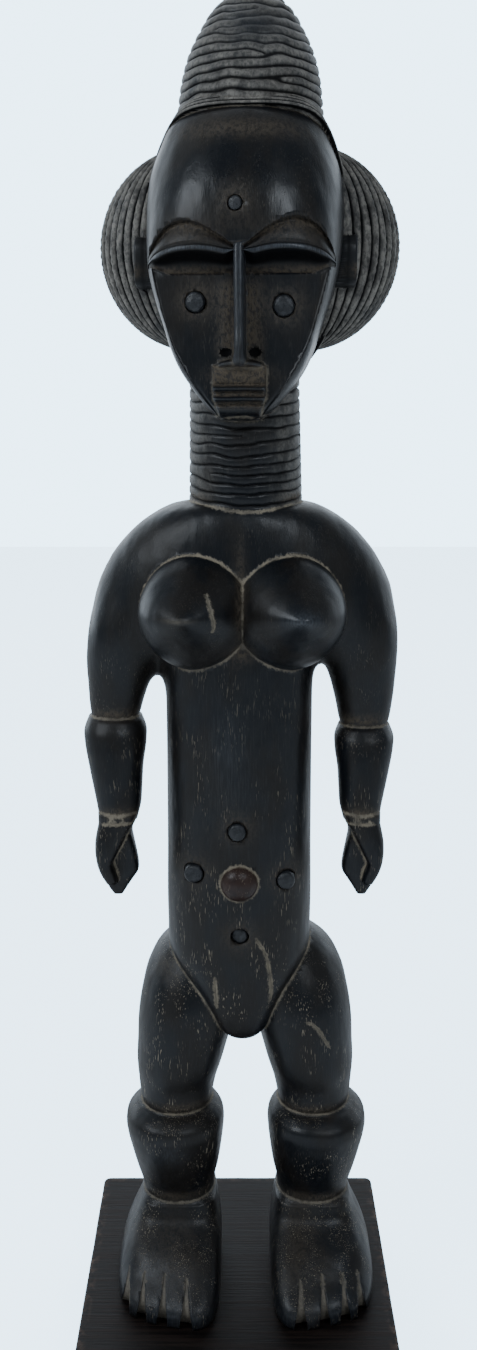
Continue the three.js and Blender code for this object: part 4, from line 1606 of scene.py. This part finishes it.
@dataclass(frozen=True)
class Scratch:
    """A thin cut that shows bare wood, drawn through points across and up on the front."""

    path: Rows
    half: float = 0.25
    depth: float = 0.5

    def skin(self, carving: np.ndarray) -> Skin:
        """Three-sided sections along the path, their point a depth below the carving's front.

        Args:
            carving: the vertices of the carving, to find its front at each place.

        Returns:
            The closed surface to cut away.
        """
        drawn = np.array(self.path, float)
        run = np.arange(len(drawn), dtype=float)
        line = through(run, drawn, np.linspace(0, run[-1], 9 * len(drawn)))
        line[:, 0] += 0.2 * ripple(71, line[:, 1] / 6)
        front = []
        for x, z in line:
            away = np.hypot(carving[:, 0] - x, carving[:, 2] - z)
            near = carving[away < 3.0]
            ahead = near[:, 1] < near[:, 1].min() + 3.0
            weight = 1 / (away[away < 3.0][ahead] + 0.1) ** 2
            front.append((near[ahead, 1] * weight).sum() / weight.sum())
        front = through(np.arange(len(front), dtype=float)[::4], front[::4], np.arange(len(front)))
        along = np.gradient(line, axis=0)
        along /= np.linalg.norm(along, axis=1)[:, None]
        taper = np.sqrt(np.sin(np.linspace(0.05, math.pi - 0.05, len(line))))[:, None]
        aside = np.stack([-along[:, 1], along[:, 0]], 1) * self.half * taper * 4
        rim, foot = front - 3 * self.depth, front + self.depth * taper[:, 0]
        corners = []
        for way, depth in ((1.0, rim), (0.0, foot), (-1.0, rim)):
            place = line + aside * way
            corners.append(np.stack([place[:, 0], depth, place[:, 1]], 1))
        sections = np.stack(corners, axis=1)
        return Skin(sections, *sections[[0, -1]].mean(axis=1), {Mark.PALE: 0.9})


SCRATCHES = (
    Scratch(((-21.5, 322.0), (-15.0, 317.0), (-12.3, 310.5), (-10.8, 303.5), (-11.2, 300.0))),
    Scratch(((5.8, 168.0), (9.9, 160.0), (11.9, 149.5), (12.3, 141.0), (11.2, 135.5))),
    Scratch(((-11.6, 149.5), (-11.2, 141.0), (-11.0, 132.5)), 0.2, 0.4),
    Scratch(((28.0, 126.0), (32.0, 123.5), (35.5, 118.0), (38.5, 112.0)), 0.22, 0.4),
)


# The whole carving


@dataclass
class Carving:
    """The figure: head, hair, neck, body and limbs, as one closed surface."""

    fineness: float = 1.0
    trunk: Trunk = field(default_factory=Trunk)
    trunk_voxel: float = 2.25

    def made(self, name: str, skin: Skin, triangles: int = 0) -> bpy.types.Object:
        """One closed solid from a surface in the carving's frame, thinned if a number is given."""
        solid = build_object(name, [skin])
        if triangles:
            thinned(solid, round(triangles / self.fineness))
        log.info("%s: %d triangles", name, len(solid.data.polygons))
        return solid

    def head_parts(self) -> list[bpy.types.Object]:
        """The cut face and everything that stands on the skull."""
        face = Face()
        bald = Skull()
        skull = self.made("skull", bald.skin(self.fineness).moved(head_place), bald.triangles)
        cuts = [self.made("eye_cut", face.eye_cut().moved(head_place), 6500)]
        cuts.append(self.made("cheek_cut", face.cheek_cut().moved(head_place), 4500))
        cuts += [self.made("nostril_cut", face.nostril_cut(side).moved(head_place)) for side in Side]
        combine(skull, cuts, "DIFFERENCE")
        parts = [skull]
        for name, skin in (("nose", face.nose()), ("wings", face.wings()), ("mouth", face.mouth())):
            parts.append(self.made(name, skin.moved(head_place)))
        carved = [("neck", Neck()), ("cap", HairCap()), ("knot", TopKnot())]
        carved += [(f"bun_{side.name.lower()}", SideBun(side)) for side in Side]
        carved += [(f"ear_{side.name.lower()}", Ear(side)) for side in Side]
        for name, part in carved:
            skin = part.skin(self.fineness).moved(head_place)
            parts.append(self.made(name, skin, getattr(part, "triangles", 0)))
        return parts

    def body_parts(self) -> list[bpy.types.Object]:
        """The trunk with soft shoulders, and the limbs that meet it in crisp lines."""
        arms = [Arm(side) for side in Side]
        upper = [arm.upper().skin(2.0, 70) for arm in arms]
        trunk = build_object("trunk", self.trunk.body_skins() + upper)
        remeshed(trunk, self.trunk_voxel * self.fineness)
        softened(trunk, lambda p: 0.6 * ease(258, 275, p[:, 2]), 14)
        softened(trunk, lambda p: 0.5 + 0 * p[:, 2], 3)
        for mark in Mark:
            note(trunk, mark.value, np.full(len(trunk.data.vertices), float(mark is Mark.KNOWN)))
        log.info("trunk: %d squares", len(trunk.data.polygons))
        f = self.fineness
        parts = [trunk, self.made("navel", self.trunk.navel())]
        parts += [self.made("breast", self.trunk.breast(side)) for side in Side]
        for arm in arms:
            parts.append(self.made("forearm", arm.fore().skin(1.4 * f, round(64 / f))))
            parts.append(self.made("hand", arm.hand().skin(1.2 * f, round(52 / f))))
            parts.append(self.made("thumb", arm.thumb().skin(1.2 * f, round(36 / f))))
        for side in Side:
            leg = Leg(side)
            parts.append(self.made("thigh", leg.thigh().skin(2.0 * f, round(96 / f))))
            parts.append(self.made("calf", leg.calf().skin(1.4 * f, round(96 / f))))
            whole = leg.foot().skin(1.2 * f, round(130 / f)).moved(leg.swept)
            foot = self.made("foot", whole)
            cuts = [self.made("toe_cut", cut.moved(leg.swept)) for cut in leg.slot_cuts()]
            parts.append(combine(foot, cuts, "DIFFERENCE"))
        return parts

    def build(self) -> bpy.types.Object:
        """The figure as one solid, with its peg holes cut."""
        parts = self.body_parts() + self.head_parts()
        figure = combine(parts[0], parts[1:], "UNION")
        figure.name = "carved_figure"
        carved = read_points(figure)
        cuts = [self.made("hole", peg.hole()) for peg in PEGS]
        cuts += [self.made("scratch", scratch.skin(carved)) for scratch in SCRATCHES]
        combine(figure, cuts, "DIFFERENCE")
        log.info("figure: %d triangles", len(figure.data.polygons))
        return figure


# Finishes


class Nodes:
    """A node tree, with short ways to add and join its nodes."""

    def __init__(self, tree: bpy.types.NodeTree) -> None:
        """Starts with an emptied tree."""
        self.tree = tree
        self.tree.nodes.clear()

    def feed(self, socket, value) -> None:
        """Joins an output to a socket, or sets a plain value on it."""
        if isinstance(value, bpy.types.NodeSocket):
            self.tree.links.new(value, socket)
        elif isinstance(value, tuple) and len(value) == 3 and socket.type == "RGBA":
            socket.default_value = (*value, 1.0)
        else:
            socket.default_value = value

    def millimetres(self, stretch: Point):
        """Object coordinates in millimetres, divided by a stretch along each axis."""
        place = self.tree.nodes.new("ShaderNodeTexCoord")
        scale = self.tree.nodes.new("ShaderNodeMapping")
        scale.inputs["Scale"].default_value = tuple(1.0 / MM / s for s in stretch)
        self.tree.links.new(place.outputs["Object"], scale.inputs["Vector"])
        return scale.outputs[0]

    def seen_directly(self):
        """1 for what the camera sees itself, and 0 for what the pieces reflect or are lit by."""
        return self.tree.nodes.new("ShaderNodeLightPath").outputs["Is Camera Ray"]

    def noise(self, stretch: Point, detail: float = 2.0, roughness: float = 0.5):
        """Cloudy noise whose clouds are as long as the stretch, in mm, along each axis."""
        node = self.tree.nodes.new("ShaderNodeTexNoise")
        self.feed(node.inputs["Vector"], self.millimetres(stretch))
        node.inputs["Scale"].default_value = 1.0
        node.inputs["Detail"].default_value = detail
        node.inputs["Roughness"].default_value = roughness
        return node.outputs["Fac"]

    def attribute(self, name: str):
        """A number kept on the mesh."""
        node = self.tree.nodes.new("ShaderNodeAttribute")
        node.attribute_name = name
        return node.outputs["Fac"]

    def ramp(self, value, low: float, high: float, start: float = 0.0, end: float = 1.0):
        """Maps low to start and high to end, smoothly, and holds them beyond."""
        node = self.tree.nodes.new("ShaderNodeMapRange")
        node.interpolation_type = "SMOOTHSTEP"
        self.feed(node.inputs["Value"], value)
        for socket, number in zip(("From Min", "From Max", "To Min", "To Max"), (low, high, start, end)):
            node.inputs[socket].default_value = number
        return node.outputs["Result"]

    def math(self, how: str, a, b=0.0):
        """A sum, product or other operation of two numbers."""
        node = self.tree.nodes.new("ShaderNodeMath")
        node.operation = how
        self.feed(node.inputs[0], a)
        self.feed(node.inputs[1], b)
        return node.outputs[0]

    def times(self, *values):
        """The product of several numbers."""
        product = values[0]
        for value in values[1:]:
            product = self.math("MULTIPLY", product, value)
        return product

    def mix(self, share, first, second):
        """A colour between two colours."""
        node = self.tree.nodes.new("ShaderNodeMix")
        node.data_type = "RGBA"
        self.feed(node.inputs["Factor"], share)
        self.feed(node.inputs["A"], first)
        self.feed(node.inputs["B"], second)
        return node.outputs["Result"]

    def between(self, share, first, second):
        """A number between two numbers."""
        node = self.tree.nodes.new("ShaderNodeMix")
        self.feed(node.inputs["Factor"], share)
        self.feed(node.inputs["A"], first)
        self.feed(node.inputs["B"], second)
        return node.outputs["Result"]

    def bump(self, height, depth: float, under=None):
        """A bump of the given depth in mm, laid over another one."""
        node = self.tree.nodes.new("ShaderNodeBump")
        node.inputs["Distance"].default_value = depth * MM
        self.feed(node.inputs["Height"], height)
        if under is not None:
            self.feed(node.inputs["Normal"], under)
        return node.outputs["Normal"]


class Finish(Nodes):
    """The nodes of one material, round one Principled shader."""

    def __init__(self, name: str) -> None:
        """Starts the material."""
        self.material = bpy.data.materials.new(name)
        self.material.use_nodes = True
        super().__init__(self.material.node_tree)
        output = self.tree.nodes.new("ShaderNodeOutputMaterial")
        self.shader = self.tree.nodes.new("ShaderNodeBsdfPrincipled")
        self.tree.links.new(self.shader.outputs[0], output.inputs[0])


@dataclass(frozen=True)
class StainedWood:
    """Black-stained wood, hand-polished, with brown dirt in the cuts and dust on the hair.

    Its grooves and hollows carry painted shade, and a few places carry painted highlights.
    """

    name: str = "stained_wood"
    blue_black: Point = (0.0045, 0.006, 0.0085)
    brown_black: Point = (0.0078, 0.0062, 0.0052)
    streak: Point = (0.015, 0.0148, 0.0155)
    tan: Point = (0.25, 0.215, 0.16)
    brown: Point = (0.088, 0.069, 0.048)
    dust: Point = (0.25, 0.235, 0.21)
    # near black for the painted shade in the grooves and hollows
    painted_shade_black: Point = (0.0035, 0.0035, 0.004)
    # worn: rubbed wood, and also the colour of the painted highlights
    worn: Point = (0.06, 0.068, 0.08)
    bare: Point = (0.17, 0.15, 0.12)
    red: Point = (0.07, 0.03, 0.018)

    def material(self) -> bpy.types.Material:
        """The material, read from the mesh's own numbers and object coordinates."""
        n = Finish(self.name)
        marks = {mark: n.attribute(mark.value) for mark in Mark}
        hair, groove = marks[Mark.HAIR], marks[Mark.GROOVE]
        fibre = n.noise((0.5, 0.5, 9.0), 3.0)
        cloud = n.noise((14.0, 14.0, 34.0), 3.0)
        speck = n.noise((1.3, 1.3, 1.9), 2.0, 0.7)
        patch = n.noise((6.0, 6.0, 8.0), 3.0, 0.6)
        colour = n.mix(n.ramp(cloud, 0.38, 0.62), self.blue_black, self.brown_black)
        colour = n.mix(n.ramp(fibre, 0.5, 0.72, 0.0, 0.6), colour, self.streak)
        pores = n.times(
            n.ramp(n.noise((0.42, 0.42, 4.4), 1.0), 0.63, 0.7),
            n.ramp(n.noise((9.0, 9.0, 16.0), 2.0), 0.45, 0.62),
            n.attribute("pores"),
        )
        colour = n.mix(pores, colour, self.tan)
        colour = n.mix(n.times(marks[Mark.RED], n.ramp(patch, 0.3, 0.6, 0.5, 1.0)), colour, self.red)
        # the wear mark brings in the worn colour: rubbed wood, and painted highlights on the nose, lid
        # rims and one nipple
        wear = n.times(marks[Mark.WEAR], n.ramp(fibre, 0.35, 0.65, 0.35, 1.0))
        colour = n.mix(wear, colour, self.worn)
        ridges = n.times(n.math("SUBTRACT", 1.0, groove), n.attribute("dust"))
        dusty = n.times(ridges, n.ramp(patch, 0.3, 0.62, 0.25, 1.0), n.ramp(speck, 0.35, 0.6, 0.45, 1.0))
        colour = n.mix(dusty, colour, self.dust)
        ragged = n.math("ADD", n.attribute("crease"), n.ramp(speck, 0.25, 0.75, -0.5, 0.5))
        line = n.times(
            n.ramp(ragged, 0.2, 1.35, 1.0, 0.0),
            n.ramp(patch, 0.32, 0.6, 0.35, 1.0),
            n.attribute("line"),
        )
        spotted = n.times(marks[Mark.SOIL], n.ramp(speck, 0.34, 0.6, 0.25, 1.0))
        colour = n.mix(spotted, colour, self.brown)
        colour = n.mix(line, colour, self.tan)
        soiled = n.math("MAXIMUM", line, spotted)
        # painted shade: the grooves of the hair and neck, and the shade mark, go near black with little
        # reflection, as shadow
        combed = n.math("MAXIMUM", hair, n.times(marks[Mark.RINGED], 0.75))
        painted_shade = n.times(n.ramp(groove, 0.15, 0.75), combed)
        painted_shade = n.math("MAXIMUM", painted_shade, marks[Mark.SHADE])
        colour = n.mix(painted_shade, colour, self.painted_shade_black)
        # bare wood, and one painted highlight: a thin pale line at a nipple
        bare = n.times(marks[Mark.PALE], n.ramp(speck, 0.3, 0.6, 0.6, 1.0))
        colour = n.mix(bare, colour, self.bare)
        n.feed(n.shader.inputs["Base Color"], colour)
        gloss = n.math("ADD", n.ramp(cloud, 0.3, 0.7, 0.32, 0.44), n.attribute("matt"))
        rough = n.between(n.math("MAXIMUM", dusty, soiled), gloss, 0.8)
        rough = n.between(bare, rough, 0.75)
        n.feed(n.shader.inputs["Roughness"], n.between(painted_shade, rough, 0.7))
        n.feed(n.shader.inputs["Specular IOR Level"], n.ramp(painted_shade, 0.2, 1.0, 0.36, 0.06))
        facets = n.bump(n.noise((7.0, 7.0, 13.0), 1.0), 0.5)
        grain = n.bump(fibre, 0.06, facets)
        pits = n.bump(n.math("SUBTRACT", 1.0, pores), 0.12, grain)
        crust = n.bump(n.times(speck, n.math("MAXIMUM", hair, soiled)), 0.25, pits)
        n.feed(n.shader.inputs["Normal"], crust)
        return n.material


@dataclass(frozen=True)
class PegWood:
    """Black-stained end grain, cut with a knife."""

    name: str = "peg_end_grain"
    black: Point = (0.008, 0.0095, 0.012)
    grey: Point = (0.045, 0.048, 0.055)

    def material(self) -> bpy.types.Material:
        """The material of a peg's head."""
        n = Finish(self.name)
        cloud = n.noise((2.2, 2.2, 2.2), 3.0, 0.6)
        fine = n.noise((0.4, 0.4, 0.4), 2.0)
        colour = n.mix(n.ramp(cloud, 0.4, 0.7, 0.0, 0.6), self.black, self.grey)
        n.feed(n.shader.inputs["Base Color"], colour)
        n.feed(n.shader.inputs["Roughness"], n.ramp(cloud, 0.3, 0.7, 0.35, 0.5))
        n.feed(n.shader.inputs["Normal"], n.bump(fine, 0.12, n.bump(cloud, 0.3)))
        return n.material


@dataclass(frozen=True)
class BaseWood:
    """Dark brown-black stained wood with fine straight grain."""

    name: str = "base_grain"
    dark: Point = (0.0055, 0.004, 0.0038)
    brown: Point = (0.017, 0.011, 0.009)
    edge: Point = (0.08, 0.05, 0.035)

    def material(self) -> bpy.types.Material:
        """The material of the base, with its grain along X."""
        n = Finish(self.name)
        grain = n.noise((40.0, 1.1, 1.1), 4.0, 0.6)
        fine = n.noise((16.0, 0.35, 0.35), 2.0)
        colour = n.mix(n.ramp(grain, 0.4, 0.65), self.dark, self.brown)
        colour = n.mix(n.ramp(fine, 0.55, 0.75, 0.0, 0.5), colour, self.brown)
        patch = n.noise((5.0, 5.0, 5.0), 3.0, 0.6)
        worn = n.times(n.attribute("edge"), n.ramp(patch, 0.45, 0.65))
        colour = n.mix(worn, colour, self.edge)
        n.feed(n.shader.inputs["Base Color"], colour)
        n.feed(n.shader.inputs["Roughness"], n.ramp(grain, 0.3, 0.7, 0.42, 0.56))
        n.feed(n.shader.inputs["Specular IOR Level"], 0.16)
        n.feed(n.shader.inputs["Normal"], n.bump(fine, 0.08, n.bump(grain, 0.12)))
        return n.material


@dataclass(frozen=True)
class Smudge:
    """A soft oval patch on the front of the carving that carries one mark."""

    mark: Mark
    x: float
    z: float
    half_x: float
    half_z: float
    strength: float = 1.0

    def share(self, points: np.ndarray) -> np.ndarray:
        """The mark's size at each point: strength exp(-r^2) within the oval, and 0 on the back."""
        across = (points[:, 0] - self.x) / self.half_x
        up = (points[:, 2] - self.z) / self.half_z
        return self.strength * np.exp(-(across**2) - up**2) * ease(0, -10, points[:, 1])


SMUDGES = (
    Smudge(Mark.SOIL, -16.7, 420.9, 6, 6, 0.7),
    Smudge(Mark.SOIL, 15.3, 418.8, 6, 6, 0.7),
    Smudge(Mark.SOIL, -0.7, 394.8, 10, 3.0, 0.9),
    Smudge(Mark.SOIL, -18.5, 445, 13, 3.5, 0.25),
    Smudge(Mark.SOIL, 15.3, 445, 13, 3.5, 0.25),
    Smudge(Mark.SOIL, -0.7, 480, 28, 3.5, 0.55),
    Smudge(Mark.SOIL, -3.2, 454.4, 5.5, 5.5, 0.6),
    Smudge(Mark.SOIL, -20.6, 348.3, 6, 2.2, 0.95),
    Smudge(Mark.SOIL, 22.2, 348.3, 6, 2.2, 0.95),
    Smudge(Mark.SOIL, -0.8, 310.7, 1.8, 18, 0.75),
    Smudge(Mark.SOIL, -0.4, 288.6, 5, 3.5, 0.7),
    Smudge(Mark.SOIL, -51.8, 259.5, 12, 2.0, 0.8),
    Smudge(Mark.SOIL, 48.5, 257.0, 12, 2.0, 0.8),
    Smudge(Mark.SOIL, -51.2, 219, 8, 2.2, 0.7),
    Smudge(Mark.SOIL, 50, 219, 8, 2.2, 0.7),
    Smudge(Mark.SOIL, -2, 216.5, 6, 6, 0.55),
    Smudge(Mark.SOIL, -19.8, 197.4, 6, 6, 0.55),
    Smudge(Mark.SOIL, 17.7, 193.9, 6, 6, 0.55),
    Smudge(Mark.SOIL, -0.8, 168.9, 6, 6, 0.55),
    Smudge(Mark.SOIL, -32.9, 146.9, 6, 5, 0.4),
    Smudge(Mark.SOIL, -27.7, 82.5, 13, 2.4, 0.7),
    Smudge(Mark.SOIL, 30.8, 81.8, 13, 2.4, 0.7),
    Smudge(Mark.SOIL, -27.8, 38, 14, 2.4, 0.6),
    Smudge(Mark.SOIL, 33.7, 37.2, 14, 2.4, 0.6),
    Smudge(Mark.SOIL, -31.8, 20.3, 14, 9, 0.3),
    Smudge(Mark.SOIL, 25.6, 22, 10, 12, 0.3),
    Smudge(Mark.WEAR, -6.8, 245.7, 8, 22, 0.25),
    Smudge(Mark.WEAR, -31.6, 65.6, 7, 6, 0.4),
    Smudge(Mark.WEAR, -33, 14, 12, 7, 0.4),
    Smudge(Mark.WEAR, -27, 4, 26, 5, 0.35),
    Smudge(Mark.WEAR, 31, 4, 26, 5, 0.35),
    # painted highlights at the nipples: a lighter patch on one and a thin pale line on the other
    Smudge(Mark.WEAR, 22.8, 305.5, 6, 3, 0.9),
    Smudge(Mark.PALE, -24.0, 305.5, 5.5, 0.9, 0.5),
)
LINE_BY_HEIGHT: Rows = (
    (0, 0.4),
    (40, 0.6),
    (82, 0.8),
    (100, 0.6),
    (150, 0.9),
    (215, 0.9),
    (300, 0.75),
    (346, 1.0),
    (358, 0.5),
    (396, 0.45),
    (406, 0.0),
    (470, 0.0),
    (478, 0.4),
    (505, 0.15),
)


def dress_figure(figure: bpy.types.Object) -> None:
    """Works out where the figure is dusty, soiled, rubbed or bare, for its finish to read.

    The rubbed and bare marks also carry painted highlights at the nipples.
    """
    made = fill_marks(figure)
    points = read_points(figure)
    x, y, z = points.T
    bend = bend_of(figure, 0)
    hair = noted(figure, Mark.HAIR.value)
    ringed = noted(figure, Mark.RINGED.value)
    note(figure, "crease", run_from(figure, made & (bend < -0.05), 4.0))
    line = outline(LINE_BY_HEIGHT, z) * (1 - 0.8 * np.maximum(hair, ringed * ease(349, 353, z)))
    note(figure, "line", line)
    for mark in (Mark.SOIL, Mark.WEAR, Mark.PALE):
        total = noted(figure, mark.value)
        for smudge in SMUDGES:
            if smudge.mark is mark:
                total = total + smudge.share(points)
        if mark is Mark.WEAR:
            total = total + 0.45 * ease(0.3, 0.9, bend) * (1 - hair)
        note(figure, mark.value, np.clip(total, 0, 1))
    note(figure, "dust", np.clip(hair + 0.5 * ringed * ease(7, 19, np.abs(x)), 0, 1))
    note(figure, "pores", ease(330, 120, z) * 0.9 + 0.1)
    brow = np.exp(-((x / 24) ** 2) - ((z - 464) / 16) ** 2) * ease(-10, -20, y)
    note(figure, "matt", -0.1 * brow)


def finish(piece: bpy.types.Object, material: bpy.types.Material, node: str) -> None:
    """Gives a piece its material and its place among the bodies.

    Args:
        piece: the piece.
        material: its finish.
        node: the frame's node that it stands for.
    """
    piece.data.materials.clear()
    piece.data.materials.append(material)
    piece.data.polygons.foreach_set("use_smooth", np.ones(len(piece.data.polygons), bool))
    piece.data.polygons.foreach_set("material_index", np.zeros(len(piece.data.polygons), np.int32))
    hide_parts(node)
    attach(piece, "root")
    log.info("%s: %d faces", piece.name, len(piece.data.polygons))


# The setting


@dataclass(frozen=True)
class Studio:
    """A pale floor, soft lights and the camera at the photograph's angle."""

    floor_half: float = 3.0
    floor_glow: float = 4.2
    eye_back: float = 469.6
    eye_height: float = 383.8
    pitch: float = math.radians(13.2)
    lens: float = 36 * 1150 / 1350
    frame_middle: float = 238.5
    axis_in_frame: float = 242.0
    focal: float = 1150.0
    glow_behind: float = 2.3
    glow_in_front: float = 0.22
    backdrop: float = 6.0

    def build(self) -> None:
        """Adds the floor, the world, the lights and the camera."""
        self.floor()
        self.world()
        self.softbox("left_window", (-0.91, -0.69, 1.1), 0.6, 7.8, (0.86, 0.93, 1.0))
        self.softbox("right_window", (0.49, -1.01, 1.12), 0.35, 3.8, (0.86, 0.93, 1.0))
        self.softbox("ceiling", (0.0, 1.2, 1.9), 1.6, 9.0, (0.95, 0.98, 1.0))
        self.camera()

    def floor(self) -> None:
        """A plain pale floor."""
        mesh = bpy.data.meshes.new("floor")
        h = self.floor_half
        corners = [(-h, -h, 0), (h, -h, 0), (h, h, 0), (-h, h, 0)]
        mesh.from_pydata(corners, [], [(0, 1, 2, 3)])
        floor = bpy.data.objects.new("floor", mesh)
        bpy.context.scene.collection.objects.link(floor)
        n = Finish("pale_floor")
        n.feed(n.shader.inputs["Base Color"], (0.86, 0.88, 0.9))
        n.feed(n.shader.inputs["Roughness"], 0.95)
        n.feed(n.shader.inputs["Emission Color"], (0.56, 0.8, 1.0))
        n.feed(n.shader.inputs["Emission Strength"], n.times(n.seen_directly(), self.floor_glow))
        mesh.materials.append(n.material)

    def world(self) -> None:
        """A room that is pale to the eye, and lights the figure from behind and the sides."""
        world = bpy.data.worlds.new("studio")
        world.use_nodes = True
        n = Nodes(world.node_tree)
        way = n.tree.nodes.new("ShaderNodeSeparateXYZ")
        n.feed(way.inputs[0], n.tree.nodes.new("ShaderNodeTexCoord").outputs["Generated"])
        x, y, z = way.outputs
        behind = n.times(n.ramp(y, -0.05, 0.65), n.ramp(x, -1.0, 1.0, 1.15, 0.75))
        around = n.times(behind, n.ramp(z, 0.3, 0.75, 1.0, 0.15))
        glow = n.math("ADD", n.times(around, self.glow_behind), self.glow_in_front)
        shades = []
        for colour, strength in (((0.8, 0.9, 1.0), glow), ((0.56, 0.8, 1.0), self.backdrop)):
            shade = n.tree.nodes.new("ShaderNodeBackground")
            n.feed(shade.inputs["Color"], colour)
            n.feed(shade.inputs["Strength"], strength)
            shades.append(shade)
        choose = n.tree.nodes.new("ShaderNodeMixShader")
        n.feed(choose.inputs[0], n.seen_directly())
        for socket, shade in zip(choose.inputs[1:], shades):
            n.tree.links.new(shade.outputs[0], socket)
        n.tree.links.new(choose.outputs[0], n.tree.nodes.new("ShaderNodeOutputWorld").inputs[0])
        bpy.context.scene.world = world

    def softbox(self, name: str, place: Point, size: float, power: float, colour: Point) -> None:
        """A square lamp that faces the figure's middle.

        Args:
            name: name of the lamp.
            place: where it hangs, in metres.
            size: length of its sides, in metres.
            power: in watts.
            colour: of its light.
        """
        lamp = bpy.data.lights.new(name, "AREA")
        lamp.size = size
        lamp.energy = power
        lamp.color = colour
        hung = bpy.data.objects.new(name, lamp)
        hung.location = place
        aim = np.array([0, 0, 0.33]) - np.array(place)
        flat = math.hypot(aim[0], aim[1])
        hung.rotation_euler = (math.atan2(flat, -aim[2]), 0, math.atan2(aim[1], aim[0]) - math.pi / 2)
        bpy.context.scene.collection.objects.link(hung)

    def camera(self) -> None:
        """The camera, in front of the face and looking down a little."""
        lens = bpy.data.cameras.new("camera")
        lens.lens = self.lens
        lens.sensor_width = 36
        lens.clip_start = 0.01
        seat = bpy.data.objects.new("camera", lens)
        depth = self.eye_back * math.cos(self.pitch) + 160 * math.sin(self.pitch)
        aside = (self.frame_middle - self.axis_in_frame) / self.focal * depth
        place = FIGURE_PLACE + [aside, -self.eye_back, self.eye_height]
        seat.location = tuple(place * MM)
        seat.rotation_euler = (math.pi / 2 - self.pitch, 0, 0)
        bpy.context.scene.collection.objects.link(seat)
        bpy.context.scene.camera = seat


def main() -> None:
    """Builds each piece in order and puts it on its body."""
    logging.basicConfig(level=logging.INFO, format="%(message)s")
    figure = Carving(fineness=1.0).build()
    dress_figure(figure)
    finish(figure, StainedWood().material(), "figure")
    peg_wood = PegWood().material()
    for peg in PEGS:
        head = peg.build()
        finish(head, peg_wood, peg.node)
    base = DisplayBase().build()
    finish(base, BaseWood().material(), "base")
    Studio().build()


if __name__ == "__main__":
    main()
